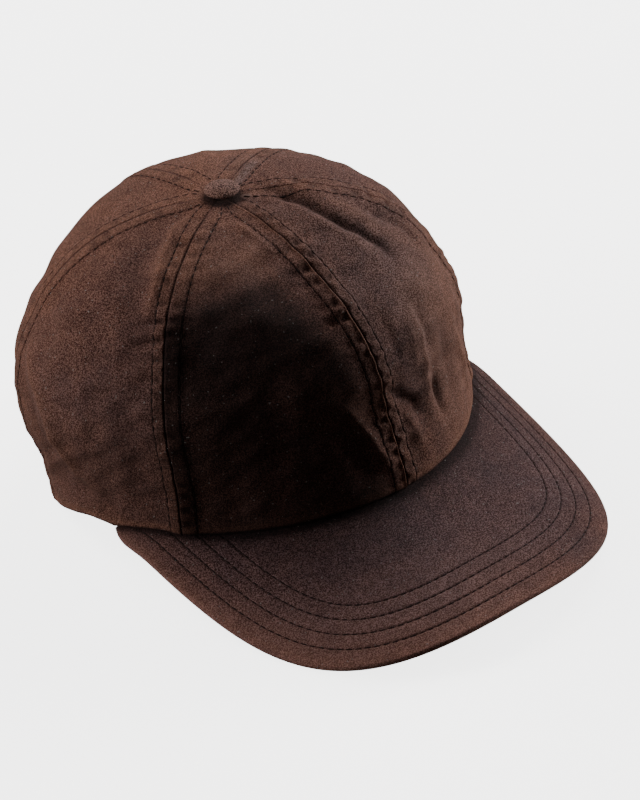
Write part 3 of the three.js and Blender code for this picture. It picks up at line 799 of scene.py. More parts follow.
# Crown. Six pointed panels of waxed cotton, sewn edge to edge with their allowances pressed open and
# stitched down either side of each seam. Unlined and unstiffened, the cloth folds and slumps by itself.
CROWN_HEIGHT = 122.5 * MM
WALL_HEIGHT = 47.3 * MM
WALL_TUCK = 2.4 * MM
CROWN_FULLNESS = 2.43
CROWN_LEAN_BACK = 12.3 * MM
CROWN_LEAN_RIGHT = 2.5 * MM
CROWN_TILT = math.radians(3.2)
TURNOVER_LEVEL = 0.75
SETTLE_LEVEL = 0.5
FRONT_SEAM_DEG = 62.9
BACK_SEAM_DEG = 119.4
HEM_FLOOR_ANGLE = math.radians(125)
CLOTH_WALL = 1.5 * MM
SEAM_LENGTH = 170 * MM
HOLE_RADIUS = 3.2 * MM
PANEL_MIDDLE_COLUMNS = 64
PANEL_ROWS = 176
HEM_ROLL = 1.6 * MM
HEM_ROLL_ROWS = (2.0, 1.5, 1.1, 0.8, 0.5, 0.25, 0.08, 0.0)
SEAM_NEAR_STEPS = (0.0, 0.12, 0.25, 0.42, 0.65, 0.95, 1.35, 1.9, 2.6, 3.3)
SEAM_ROW_STEPS = (-1.1, -0.7, -0.4, -0.2, 0.0, 0.2, 0.4, 0.7, 1.1, 1.7, 2.5)

FOLDS = (
    {"what": "long groove", "height": -2.6, "width": 2.8, "path":
        ((54, 0.085), (46, 0.11), (40, 0.16), (34.5, 0.215), (33.5, 0.265), (34, 0.31), (34, 0.35),
         (33, 0.39))},
    {"what": "ridge above it", "height": 0.7, "width": 4.0, "path":
        ((62, 0.12), (53, 0.16), (47, 0.22), (44.5, 0.28), (43, 0.34), (41, 0.42))},
    {"what": "ridge below it", "height": 0.5, "width": 2.6, "path":
        ((42, 0.075), (36, 0.11), (31, 0.16), (26.5, 0.22), (26, 0.29), (26, 0.37))},
    {"what": "hollow under side seam", "height": -1.5, "width": 3.4, "path":
        ((49, 0.27), (51, 0.33), (52.5, 0.39), (50, 0.46))},
    {"what": "right side ridge", "height": 2.0, "width": 2.8, "path":
        ((-79, 0.06), (-80.5, 0.11), (-77, 0.15), (-71.5, 0.22), (-70, 0.29), (-69.5, 0.36))},
    {"what": "hollow beside it", "height": -0.7, "width": 5.0, "path":
        ((-97, 0.10), (-87, 0.18), (-80, 0.26), (-76, 0.35), (-74, 0.42))},
    {"what": "first pucker", "height": -1.4, "width": 1.7, "path": ((-71.5, 0.385), (-61.5, 0.371))},
    {"what": "second pucker", "height": -1.4, "width": 1.8, "path": ((-73, 0.452), (-63.5, 0.421))},
    {"what": "third pucker", "height": -1.0, "width": 1.6, "path": ((-69.5, 0.478), (-63, 0.49))},
    {"what": "rear edge ridge", "height": 2.4, "width": 4.0, "path":
        ((-112, 0.59), (-106, 0.64), (-101, 0.675), (-98, 0.73), (-95, 0.80), (-93, 0.86), (-87, 0.90))},
    {"what": "hollow behind it", "height": -1.3, "width": 5.0, "path":
        ((-114, 0.66), (-107, 0.72), (-104, 0.82))},
    {"what": "faint side ridge", "height": 1.0, "width": 4.2, "path":
        ((-102, 0.44), (-100, 0.52), (-99.5, 0.6))},
    {"what": "tuck by front seam", "height": 2.0, "width": 3.2, "path":
        ((-13, 0.71), (-9.5, 0.78), (-7, 0.85), (-4.5, 0.93))},
    {"what": "hollow beside tuck", "height": -1.2, "width": 4.6, "path":
        ((-18, 0.71), (-15, 0.8), (-11, 0.88), (-8, 0.94))},
    {"what": "front dent", "height": -2.6, "width": 3.0, "path":
        ((2.5, 0.72), (7, 0.755), (11, 0.79), (11.5, 0.835))},
    {"what": "second dent", "height": -2.2, "width": 2.4, "path":
        ((23.5, 0.77), (22.8, 0.83), (22, 0.895))},
    {"what": "streak above dent", "height": -0.9, "width": 2.8, "path":
        ((9.5, 0.49), (8.8, 0.56), (8.3, 0.64))},
    {"what": "streak beside it", "height": -0.8, "width": 2.6, "path":
        ((24, 0.53), (23, 0.58), (23, 0.66))},
    {"what": "ridge between streaks", "height": 1.0, "width": 3.0, "path":
        ((17, 0.54), (15.5, 0.62), (14.5, 0.71))},
    {"what": "ridge between dents", "height": 1.3, "width": 3.3, "path":
        ((20.5, 0.52), (19.5, 0.61), (19, 0.70), (18.5, 0.77), (16, 0.87))},
    {"what": "hollow left of dents", "height": -0.8, "width": 5.0, "path":
        ((30, 0.60), (31.5, 0.7), (31.5, 0.8), (30, 0.89))},
    {"what": "left front ridge", "height": 1.2, "width": 3.6, "path":
        ((40, 0.66), (43, 0.78), (46, 0.87), (43, 0.95))},
    {"what": "ridge by front seam", "height": 0.8, "width": 2.4, "path":
        ((5.5, 0.79), (7.5, 0.85), (8.5, 0.91), (9.5, 0.96))},
    {"what": "front top ridge", "height": 1.0, "width": 2.6, "path":
        ((-38, 0.095), (-24, 0.10), (-15.5, 0.15), (-12, 0.22))},
    {"what": "right front hollow", "height": -2.8, "width": 18.0, "path": ((-36, 0.46), (-34, 0.75))},
    {"what": "back left fold", "height": 0.9, "width": 4.0, "path":
        ((168, 0.08), (152, 0.17), (147, 0.30))},
    {"what": "low back fold", "height": 1.6, "width": 6.0, "path":
        ((150, 0.62), (141, 0.72), (138, 0.86))},
    {"what": "low left fold", "height": 1.5, "width": 5.0, "path": ((84, 0.55), (88, 0.68), (86, 0.82))},
)

SEAMS = (
    {"deg": 0, "rows": (6.4, 5.2), "ditch": 0.6, "lip": 0.55, "corner": 0.0, "pucker": 0.6},
    {"deg": FRONT_SEAM_DEG, "rows": (6.0, 6.0), "ditch": 0.6, "lip": 0.3, "corner": 0.3, "pucker": 0.3},
    {"deg": BACK_SEAM_DEG, "rows": (6.2, 6.2), "ditch": 0.35, "lip": 0.1, "corner": 0.0, "pucker": 0.2},
    {"deg": 180, "rows": (6.2, 6.2), "ditch": 0.12, "lip": 0.0, "corner": 0.0, "pucker": 0.2},
    {"deg": -BACK_SEAM_DEG, "rows": (5.6, 6.2), "ditch": 0.16, "lip": 0.15, "corner": 0.0, "pucker": 0.2},
    {"deg": -FRONT_SEAM_DEG, "rows": (4.8, 6.4), "ditch": 0.7, "lip": 0.1, "corner": 2.2, "pucker": 0.3},
)
PANELS = (
    {"name": "front_panel_left", "seams": (0, 1)},
    {"name": "side_panel_left", "seams": (1, 2)},
    {"name": "back_panel_left", "seams": (2, 3)},
    {"name": "front_panel_right", "seams": (5, 0)},
    {"name": "side_panel_right", "seams": (4, 5)},
    {"name": "back_panel_right", "seams": (3, 4)},
)
FULL_TURN_DEG = 360
RIGHT_SEAM = math.radians(-FRONT_SEAM_DEG)
LEVEL_STEP = 0.003
ANGLE_STEP = 0.008
FOLD_LEAST_SWELL = 0.35
FOLD_SWELL_POWER = 0.7
FOLD_POWER = 1.7


def wrapped(angle):
    """The same direction, between half a turn to the right and half a turn to the left."""
    return np.arctan2(np.sin(angle), np.cos(angle))


def seat_on_peak(x, y):
    across, out = flatten(x, y)
    return bend_peak(across, out, 0.0, ROOT_HEIGHT)[..., 2] + HEM_GAP


def hem_height(angle, x, y):
    """Height of the hem's lower edge: on the peak in front, then falling to the floor behind it."""
    away = np.abs(wrapped(angle))
    share = np.clip((away - PEAK_TIP_ANGLE) / (HEM_FLOOR_ANGLE - PEAK_TIP_ANGLE), 0, 1)
    left = (1 - share) ** 2
    start = seat_on_peak(*hem_point(np.sign(np.sin(angle)) * PEAK_TIP_ANGLE))
    seat = seat_on_peak(x, y)
    offset = seat - seat_on_peak(*hem_point(angle))
    return np.where(away <= PEAK_TIP_ANGLE, seat, left * (start * (1 + 2 * share) + offset))


def tilt_crown(x, y, z):
    y = y - HEM_BACK_REACH
    back = y * math.cos(CROWN_TILT) + z * math.sin(CROWN_TILT)
    up = z * math.cos(CROWN_TILT) - y * math.sin(CROWN_TILT)
    return x, back + HEM_BACK_REACH, up


def crown_section(angle, level):
    """Radius and height of the slack crown before it leans and settles."""
    hem = plain_hem_radius(angle)
    wall = hem - WALL_TUCK
    turn = np.clip(level / TURNOVER_LEVEL, 0, 1) * math.pi / 2
    down = np.clip((level - TURNOVER_LEVEL) / (1 - TURNOVER_LEVEL), 0, 1)
    over = level < TURNOVER_LEVEL
    dome_radius = wall * np.sin(turn) ** (2 / CROWN_FULLNESS)
    rise = np.maximum(np.cos(turn), 0) ** (2 / CROWN_FULLNESS)
    dome_height = WALL_HEIGHT + (CROWN_HEIGHT - WALL_HEIGHT) * rise
    radius = np.where(over, dome_radius, wall + (hem - wall) * down ** 2)
    height = np.where(over, dome_height, WALL_HEIGHT * (1 - down))
    return radius * (1 + girth_share(angle, level)), height


def plain_crown(angle, level):
    """The crown's outer surface without its folds."""
    radius, height = crown_section(angle, level)
    lean = (height / CROWN_HEIGHT) ** 2
    x, y, z = tilt_crown(
        radius * np.sin(angle) - CROWN_LEAN_RIGHT * lean,
        -radius * np.cos(angle) + CROWN_LEAN_BACK * lean,
        height,
    )
    hem_x, hem_y = hem_point(angle)
    tilted = tilt_crown(hem_x, hem_y, np.zeros_like(hem_x))[2]
    z = z + (hem_height(angle, hem_x, hem_y) - tilted) * smooth_step(level, SETTLE_LEVEL, 1)
    return np.stack([x, y, z], axis=-1)


def outward_normal(surface, angle, level):
    low = np.maximum(level - LEVEL_STEP, 0)
    high = np.minimum(level + LEVEL_STEP, 1)
    around = surface(angle + ANGLE_STEP, level) - surface(angle - ANGLE_STEP, level)
    down = surface(angle, high) - surface(angle, low)
    normal = np.cross(down, around)
    return normal / np.linalg.norm(normal, axis=-1)[..., None]


def fold_rise(angle, level):
    """How much the folds raise or sink the cloth. Each fold swells and dies away along its path."""
    radius = crown_section(angle, level)[0]
    rise = np.zeros_like(radius)
    for fold in FOLDS:
        path = fold["path"]
        nearest = np.full(radius.shape, np.inf)
        share = np.zeros(radius.shape)
        for k in range(len(path) - 1):
            start = math.radians(path[k][0])
            run_x = (math.radians(path[k + 1][0]) - start) * radius
            run_y = (path[k + 1][1] - path[k][1]) * SEAM_LENGTH
            x = wrapped(angle - start) * radius
            y = (level - path[k][1]) * SEAM_LENGTH
            along = np.clip((x * run_x + y * run_y) / (run_x ** 2 + run_y ** 2), 0, 1)
            away = np.hypot(x - run_x * along, y - run_y * along)
            closer = away < nearest
            nearest = np.where(closer, away, nearest)
            share = np.where(closer, (k + along) / (len(path) - 1), share)
        swell = FOLD_LEAST_SWELL + (1 - FOLD_LEAST_SWELL) * np.sin(math.pi * share) ** FOLD_SWELL_POWER
        rise += fold["height"] * MM * swell * bell(nearest, fold["width"] * MM, FOLD_POWER)
    return rise


chance = np.random.default_rng(7)


def ripple(count, shortest, longest):
    """Smooth random waves along one length, between two wavelengths. It returns a function of place."""
    waves = 2 * math.pi / chance.uniform(shortest, longest, count)
    shifts = chance.uniform(0, 2 * math.pi, count)
    return lambda place: sum(
        np.sin(place * wave + shift) for wave, shift in zip(waves, shifts)) / math.sqrt(count)


def slack(count, shortest, longest):
    """Smooth random swells through space, between two wavelengths. It returns a function of a place."""
    waves = 2 * math.pi / chance.uniform(shortest, longest, count)
    heads = chance.normal(size=(count, 3))
    heads *= (waves / np.linalg.norm(heads, axis=1))[:, None]
    shifts = chance.uniform(0, 2 * math.pi, count)
    return lambda place: sum(
        np.sin(place @ head + shift) for head, shift in zip(heads, shifts)) / math.sqrt(count)


seam_puckers = {(k, side): ripple(6, 4.6 * MM, 11 * MM) for k in range(len(SEAMS)) for side in (-1, 1)}
broad_slack = slack(9, 34 * MM, 90 * MM)
fine_slack = slack(14, 9 * MM, 24 * MM)
hanging_slack = slack(8, 11 * MM, 26 * MM)
HANGING_STRETCH = np.array([1.0, 1.0, 0.2])


def seam_values(angle, radius, level):
    """Distance to the nearest seam, and that seam's sizes on the side where the place lies."""
    gaps = np.stack([wrapped(angle - math.radians(seam["deg"])) for seam in SEAMS])
    nearest = np.abs(gaps).argmin(0)
    gap = np.take_along_axis(gaps, nearest[None], 0)[0]
    values = {name: np.array([seam[name] for seam in SEAMS])[nearest] * MM
              for name in ("ditch", "lip", "corner", "pucker")}
    values["away"] = np.abs(gap) * radius
    values["left"] = gap > 0
    right_row, left_row = [np.array(rows)[nearest] * MM for rows in zip(*(seam["rows"] for seam in SEAMS))]
    values["row"] = np.where(gap > 0, left_row, right_row)
    wave = np.zeros_like(radius)
    for k in range(len(SEAMS)):
        for side in (-1, 1):
            here = (nearest == k) & ((gap > 0) == (side > 0))
            if here.any():
                wave[here] = seam_puckers[(k, side)](level[here] * SEAM_LENGTH)
    values["wave"] = wave
    return values


TOP_FROM = 4 * MM
TOP_RUN = 20 * MM
SEAM_AT_TOP = 0.12
PARTED_WIDTH = 0.7 * MM
DITCH_WIDTH = 0.4 * MM
LIP_ASIDE = 0.9 * MM
LIP_WIDTH = 0.5 * MM
BAND_HEIGHT = 0.5 * MM
BAND_PAST_ROW = 0.7 * MM
BAND_EDGE = 0.3 * MM
ROW_DEPTH = 0.42 * MM
ROW_WIDTH = 0.45 * MM
BELLY_WIDTH = 2.0 * MM
OUTER_SHARE = 0.5
OUTER_ASIDE = 2.8 * MM
OUTER_WIDTH = 2.6 * MM
CORNER_RUN = 13 * MM
CORNER_FROM_LEVEL = 0.2
CORNER_LEVELS = 0.25


def seam_rise(angle, level):
    """The doubled cloth beside a seam, drawn down at the seam and at its row of stitches, and puckered."""
    radius = crown_section(angle, level)[0]
    seam = seam_values(angle, radius, level)
    away = seam["away"]
    from_row = away - seam["row"]
    fade = np.clip((radius - TOP_FROM) / TOP_RUN, SEAM_AT_TOP, 1)
    parted = 1 - bell(away, PARTED_WIDTH)
    ditch = -seam["ditch"] * bell(away, DITCH_WIDTH, 1.3)
    lip = np.where(seam["left"], 0, seam["lip"]) * bell(away - LIP_ASIDE, LIP_WIDTH)
    band = BAND_HEIGHT / (1 + np.exp((from_row - BAND_PAST_ROW) / BAND_EDGE))
    row = -ROW_DEPTH * bell(from_row, ROW_WIDTH)
    belly = bell(away - seam["row"] / 2, BELLY_WIDTH)
    outer = OUTER_SHARE * bell(from_row - OUTER_ASIDE, OUTER_WIDTH)
    corner = np.clip((level - CORNER_FROM_LEVEL) / CORNER_LEVELS, 0, 1)
    corner = seam["corner"] * bell(away, CORNER_RUN, 1) * corner
    puckers = seam["pucker"] * seam["wave"] * (belly + outer)
    return (ditch + band + row + (lip + puckers) * parted) * fade + corner


HEM_HOLD = 0.75
HEM_HOLD_FROM = 0.9
HEM_HOLD_LEVELS = 0.1
BROAD_SLACK = 0.5 * MM
FINE_SLACK = 0.36 * MM
HANGING_SLACK = 0.22 * MM
HANGING_FROM = 0.45
HANGING_LEVELS = 0.2
TOP_HOLD_RADIUS = 30 * MM
BEHIND = (math.radians(95), math.radians(130))
BEHIND_TOP = (0.35, 0.55)
BEHIND_CALM = 0.65
HEM_BAND_HEIGHT = 0.3 * MM
HEM_BAND_LEVEL = 0.926
HEM_BAND_EDGE = 0.004


def cloth_rise(angle, level):
    """Everything that stands off the plain crown."""
    radius, height = crown_section(angle, level)
    place = np.stack([radius * np.sin(angle), -radius * np.cos(angle), height], axis=-1)
    hem_hold = 1 - HEM_HOLD * np.clip((level - HEM_HOLD_FROM) / HEM_HOLD_LEVELS, 0, 1)
    loose = BROAD_SLACK * broad_slack(place) + FINE_SLACK * fine_slack(place)
    hanging = HANGING_SLACK * hanging_slack(place * HANGING_STRETCH)
    loose += hanging * np.clip((level - HANGING_FROM) / HANGING_LEVELS, 0, 1)
    top_hold = np.clip(radius / TOP_HOLD_RADIUS, 0, 1)
    behind = smooth_step(np.abs(wrapped(angle)), *BEHIND)
    loose *= 1 - BEHIND_CALM * behind * (1 - smooth_step(level, *BEHIND_TOP))
    hem_band = HEM_BAND_HEIGHT / (1 + np.exp((HEM_BAND_LEVEL - level) / HEM_BAND_EDGE))
    return (fold_rise(angle, level) + loose * top_hold) * hem_hold + seam_rise(angle, level) + hem_band


def crown_surface(angle, level):
    """The finished outer surface of the crown, rolled in at the hem."""
    normal = outward_normal(plain_crown, angle, level)
    up = (1 - level) * SEAM_LENGTH
    into = np.clip(HEM_ROLL - up, 0, HEM_ROLL)
    roll = HEM_ROLL - np.sqrt(np.maximum(HEM_ROLL ** 2 - into ** 2, 0))
    return plain_crown(angle, level) + normal * (cloth_rise(angle, level) - roll)[..., None]


def hole_level(angle):
    share = HOLE_RADIUS / (float(plain_hem_radius(np.array(angle))) - WALL_TUCK)
    return math.asin(share ** (CROWN_FULLNESS / 2)) / (math.pi / 2) * TURNOVER_LEVEL


def panel_grid(start, end, first_row, last_row):
    """Angles and levels of a panel's grid, dense beside its two seams, at their stitches and at its hem."""
    first = hole_level((start + end) / 2)
    hem_levels = 1 - np.array(HEM_ROLL_ROWS) * MM / SEAM_LENGTH
    levels = np.concatenate([np.linspace(first, hem_levels[0], PANEL_ROWS)[:-1], hem_levels])
    banded = len(SEAM_NEAR_STEPS) + len(SEAM_ROW_STEPS)
    total = 2 * banded + PANEL_MIDDLE_COLUMNS - 1
    shares = np.empty((total + 1, len(levels)))
    radius = crown_section(np.full(len(levels), (start + end) / 2), levels)[0]
    span = end - start
    for k in range(banded):
        from_start, from_end = [
            (SEAM_NEAR_STEPS + tuple(row + step for step in SEAM_ROW_STEPS))[k] * MM
            for row in (first_row, last_row)]
        shares[k] = np.minimum(from_start / (span * radius), k / total)
        shares[total - k] = 1 - np.minimum(from_end / (span * radius), k / total)
    low, high = shares[banded - 1], shares[total - banded + 1]
    for k in range(1, PANEL_MIDDLE_COLUMNS + 1):
        shares[banded - 1 + k] = low + (high - low) * k / (PANEL_MIDDLE_COLUMNS + 1)
    return start + span * shares, np.broadcast_to(levels, shares.shape).copy()


# Painted shadow on the crown round and under the button.
BUTTON_SHADE_PLACE = (-0.2 * MM, -1.3 * MM)
BUTTON_SHADE_RADIUS = 8.9 * MM
TACK_ANGLE = math.radians(42)
TACK_RADIUS = 2.0 * MM
tack_out = float(crown_section(np.array(TACK_ANGLE), np.array(0.036))[0])
TACK_PLACE = (tack_out * math.sin(TACK_ANGLE), -tack_out * math.cos(TACK_ANGLE))
# Painted shade: sunk folds, seam ditches, stitch rows, puckers, hem turn, right front panel and beside it.
FOLD_PAINTED_SHADE = 0.55
FOLD_PAINTED_SHADE_DEPTH = 2.6 * MM
SHADE_RIM = math.radians(-20)
SHADE_RIM_SLANT = math.radians(14)
SHADE_RIM_FROM = 0.28
SHADE_RIM_LEVELS = 0.3
SHADE_RIM_BLUR = math.radians(7)
SHADE_LATE = 0.08
SHADE_LATE_RUN = 12 * MM
SHADE_TOP = (0.235, 0.33)
SHADE_SEAM_BEFORE = 0.002
SHADE_SEAM_AFTER = 0.01
FRONT_PAINTED_SHADE = 0.55
FRONT_UPPER_PAINTED_SHADE = 0.27
SHADE_UPPER = (0.42, 0.62)
FRONT_NEAR_PAINTED_SHADE = 0.3
SHADE_NEAR_RUN = 20 * MM
SHADE_NEAR_TOP = (0.36, 0.5)
SHADE_NEAR_END = (0.7, 0.9)
SHADE_NEAR_AT_END = 0.5
BESIDE_PAINTED_SHADE = 0.34
BESIDE_RUN = 9 * MM
BESIDE_TOP = (0.45, 0.62)
PAINTED_SHADE_AT_TOP = 0.2
DITCH_PAINTED_SHADE = 0.9
DITCH_PAINTED_SHADE_WIDTH = 0.38 * MM
ROW_PAINTED_SHADE = 0.36
ROW_PAINTED_SHADE_WIDTH = 0.36 * MM
PUCKER_PAINTED_SHADE = 0.45
PUCKER_PAINTED_SHADE_WIDTH = 2.2 * MM
HEM_PAINTED_SHADE = 0.97
HEM_PAINTED_SHADE_WIDTH = 1.0 * MM
BUTTON_PAINTED_SHADOW = 0.97


def from_place(angle, radius, place):
    """How far a point of the crown is from a place near its top, seen from above."""
    return np.hypot(radius * np.sin(angle) - place[0], -radius * np.cos(angle) - place[1])


def tack_share(angle, radius):
    """The small pale spot beside the button."""
    return bell(from_place(angle, radius, TACK_PLACE), TACK_RADIUS, 4)


def right_front_shade(angle, level, radius):
    """Painted shade on the right front panel and on a strip of the side panel beside it."""
    from_seam = (angle - RIGHT_SEAM) * radius
    rim = SHADE_RIM + SHADE_RIM_SLANT * np.clip((level - SHADE_RIM_FROM) / SHADE_RIM_LEVELS, 0, 1)
    late = SHADE_LATE * bell(np.abs(from_seam), SHADE_LATE_RUN, 1)
    front = smooth_step(level - late, *SHADE_TOP) * smooth_step(rim - angle, -SHADE_RIM_BLUR, SHADE_RIM_BLUR)
    front *= smooth_step(angle, RIGHT_SEAM - SHADE_SEAM_BEFORE, RIGHT_SEAM + SHADE_SEAM_AFTER)
    upper = 1 - smooth_step(level, *SHADE_UPPER)
    near = bell(np.abs(from_seam), SHADE_NEAR_RUN, 1)
    near *= 1 - SHADE_NEAR_AT_END * smooth_step(level, *SHADE_NEAR_END)
    near *= smooth_step(level, *SHADE_NEAR_TOP)
    front *= FRONT_PAINTED_SHADE + FRONT_UPPER_PAINTED_SHADE * upper + FRONT_NEAR_PAINTED_SHADE * near
    beside = BESIDE_PAINTED_SHADE * bell(np.maximum(-from_seam, 0), BESIDE_RUN, 1) * (from_seam < 0)
    return front, beside * smooth_step(level, *BESIDE_TOP)


def painted_shade_share(angle, level):
    """Painted shade in folds, seam ditches, stitch rows, puckers, at the hem, under the button and on the
    right front.
    """
    radius = crown_section(angle, level)[0]
    seam = seam_values(angle, radius, level)
    # Painted shade in the sunk folds.
    sunk = FOLD_PAINTED_SHADE * np.clip(-fold_rise(angle, level) / FOLD_PAINTED_SHADE_DEPTH, 0, 1)
    front, beside = right_front_shade(angle, level, radius)
    fade = np.clip((radius - TOP_FROM) / TOP_RUN, PAINTED_SHADE_AT_TOP, 1)
    # Painted shade in the seam ditches, along the stitch rows and in the pucker hollows.
    ditch = DITCH_PAINTED_SHADE * bell(seam["away"], DITCH_PAINTED_SHADE_WIDTH)
    row = ROW_PAINTED_SHADE * bell(seam["away"] - seam["row"], ROW_PAINTED_SHADE_WIDTH)
    pucker = PUCKER_PAINTED_SHADE * np.clip(-seam["wave"], 0, 1)
    pucker *= bell(seam["away"] - seam["row"] / 2, PUCKER_PAINTED_SHADE_WIDTH)
    # Painted shade at the hem's turn, and painted shadow under the button.
    hem = HEM_PAINTED_SHADE * bell((1 - level) * SEAM_LENGTH, HEM_PAINTED_SHADE_WIDTH)
    button = BUTTON_PAINTED_SHADOW * bell(from_place(angle, radius, BUTTON_SHADE_PLACE), BUTTON_SHADE_RADIUS, 14)
    share = np.maximum(sunk, front) + beside + (ditch + row + pucker) * fade + hem + button
    return np.clip(share, 0, 1) * (1 - tack_share(angle, radius))


# Ridges are paler from rubbed wear and a painted highlight; the left front is paler from painted light.
FOLD_WEAR_AND_HIGHLIGHT = 0.5
FOLD_WEAR_AND_HIGHLIGHT_HEIGHT = 2.4 * MM
LIP_WEAR_HEIGHT = 0.45 * MM
LIP_WEAR_ASIDE = 0.8 * MM
LIP_WEAR_WIDTH = 0.45 * MM
BAND_WEAR = 0.25
BAND_WEAR_WIDTH = 2 * MM
HEM_WEAR = 0.5
HEM_WEAR_UP = 2.2 * MM
HEM_WEAR_WIDTH = 1.6 * MM
REAR_WEAR = 0.35
REAR_WEAR_FROM = (math.radians(85), math.radians(125))
TOP_WEAR = 0.5
TOP_WEAR_LEVEL = 0.2
TOP_WEAR_LEVELS = 0.09
TOP_WEAR_FRONT = (math.radians(8), math.radians(25))
TOP_WEAR_SIDE = (math.radians(-90), math.radians(-66))
LEFT_PAINTED_LIGHT = 0.5
LEFT_PAINTED_LIGHT_FRONT = (math.radians(12), math.radians(26))
LEFT_PAINTED_LIGHT_SIDE = (math.radians(60), math.radians(85))
LEFT_PAINTED_LIGHT_TOP = (0.38, 0.55)


def wear_and_painted_light_share(angle, level):
    """Pale: wear on ridges, seams, above the hem, near the top and behind; painted highlight on ridges;
    painted light at left.
    """
    radius = crown_section(angle, level)[0]
    seam = seam_values(angle, radius, level)
    # Rubbed wear and painted highlight on the ridges of the folds.
    proud = FOLD_WEAR_AND_HIGHLIGHT * np.clip(fold_rise(angle, level) / FOLD_WEAR_AND_HIGHLIGHT_HEIGHT, 0, 1)
    lip = np.where(seam["left"], 0, seam["lip"] / LIP_WEAR_HEIGHT)
    lip = lip * bell(seam["away"] - LIP_WEAR_ASIDE, LIP_WEAR_WIDTH)
    band = BAND_WEAR * bell(seam["away"] - seam["row"] / 2, BAND_WEAR_WIDTH)
    hem = HEM_WEAR * bell((1 - level) * SEAM_LENGTH - HEM_WEAR_UP, HEM_WEAR_WIDTH)
    rear = REAR_WEAR * smooth_step(np.abs(angle), *REAR_WEAR_FROM)
    top = TOP_WEAR * bell(level - TOP_WEAR_LEVEL, TOP_WEAR_LEVELS)
    top *= smooth_step(-angle, *TOP_WEAR_FRONT) * smooth_step(angle, *TOP_WEAR_SIDE)
    # Painted light on the left front.
    left = LEFT_PAINTED_LIGHT * smooth_step(angle, *LEFT_PAINTED_LIGHT_FRONT) * smooth_step(level, *LEFT_PAINTED_LIGHT_TOP)
    left *= 1 - smooth_step(angle, *LEFT_PAINTED_LIGHT_SIDE)
    return np.clip(proud + lip + band + hem + rear + top + left + tack_share(angle, radius), 0, 1)


BLOOMS = (
    {"deg": 34, "level": 0.36, "half_deg": 26, "half_level": 0.24, "share": 0.8},
    {"deg": 14, "level": 0.62, "half_deg": 20, "half_level": 0.3, "share": 0.4},
    {"deg": -82, "level": 0.62, "half_deg": 24, "half_level": 0.26, "share": 0.4},
    {"deg": 120, "level": 0.14, "half_deg": 22, "half_level": 0.1, "share": 0.3},
    {"deg": -40, "level": 0.5, "half_deg": 24, "half_level": 0.4, "share": 0.4},
)
BLOOMS_SHARE = 0.7
# The strip is a painted highlight: a cool grey sheen beside the left back seam near the top.
STRIP_SHARE = 0.85
STRIP_ASIDE = 3.2 * MM
STRIP_HALF_WIDTH = 2.3 * MM
STRIP_END = (0.1, 0.17)


def cool_grey_share(angle, level):
    """Where the cloth turns cool grey: wax bloom, a painted highlight strip by the left back seam, and the
    tack.
    """
    radius = crown_section(angle, level)[0]
    share = np.zeros_like(level)
    for cool_grey in BLOOMS:
        around = np.degrees(np.abs(wrapped(angle - math.radians(cool_grey["deg"])))) / cool_grey["half_deg"]
        down = (level - cool_grey["level"]) / cool_grey["half_level"]
        share += cool_grey["share"] * np.exp(-around ** 2 - down ** 2)
    from_seam = (angle - math.radians(BACK_SEAM_DEG)) * radius
    # Painted highlight strip beside the left back seam.
    strip = bell(from_seam + STRIP_ASIDE, STRIP_HALF_WIDTH, 4) * (1 - smooth_step(level, *STRIP_END))
    return np.clip(BLOOMS_SHARE * share + STRIP_SHARE * strip + tack_share(angle, radius), 0, 1)


CROWN_COLOURS = ((0.019, 0.0035, 0.001), (0.19, 0.092, 0.073), (0.3, 0.135, 0.085))
INSIDE_SHARE = 0.9999
crown_cloth = cloth_material("crown_cloth", *CROWN_COLOURS)
for panel in PANELS:
    first, last = [SEAMS[k] for k in panel["seams"]]
    behind_back = FULL_TURN_DEG if first["deg"] > last["deg"] else 0
    start = math.radians(first["deg"] - behind_back)
    end = math.radians(last["deg"])
    angle, level = panel_grid(start, end, first["rows"][1], last["rows"][0])
    points = crown_surface(angle, level)
    radius = crown_section(angle, level)[0]
    middle = (start + end) / 2
    cloth_place = np.stack([(angle - middle) * radius, level * SEAM_LENGTH], axis=-1)
    inside = middle + (angle - middle) * INSIDE_SHARE
    # Wear with painted light, painted shade, and cool grey with a painted highlight strip, per point.
    wear_and_painted_light = wear_and_painted_light_share(inside, level)
    painted_shade = painted_shade_share(inside, level)
    cool_grey = cool_grey_share(inside, level)
    piece = grid_piece("cloth_" + panel["name"], (points + CROWN_CENTRE)[:, ::-1], cloth_place[:, ::-1],
                       wear_and_painted_light[:, ::-1], painted_shade[:, ::-1], cool_grey[:, ::-1])
    thicken(piece, CLOTH_WALL)
    piece.data.materials.append(crown_cloth)
    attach(piece, "root")
    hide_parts(panel["name"])

# Stitching of the crown. One row of dark thread runs down either side of every seam and holds its pressed
# allowance flat.
STITCHED_LEVELS = (0.03, 0.99)
CROWN_ROW_STEPS = 320
MOST_ASIDE = math.radians(24)
crown_runs = []
for seam in SEAMS:
    for side, row in zip((-1, 1), seam["rows"]):
        level = np.linspace(*STITCHED_LEVELS, CROWN_ROW_STEPS)
        angle = np.full_like(level, math.radians(seam["deg"]))
        radius = crown_section(angle, level)[0]
        angle = angle + side * np.minimum(row * MM / radius, MOST_ASIDE)
        line = crown_surface(angle, level) + CROWN_CENTRE
        crown_runs.append((line, outward_normal(plain_crown, angle, level)))
sew("crown_stitching", crown_runs)

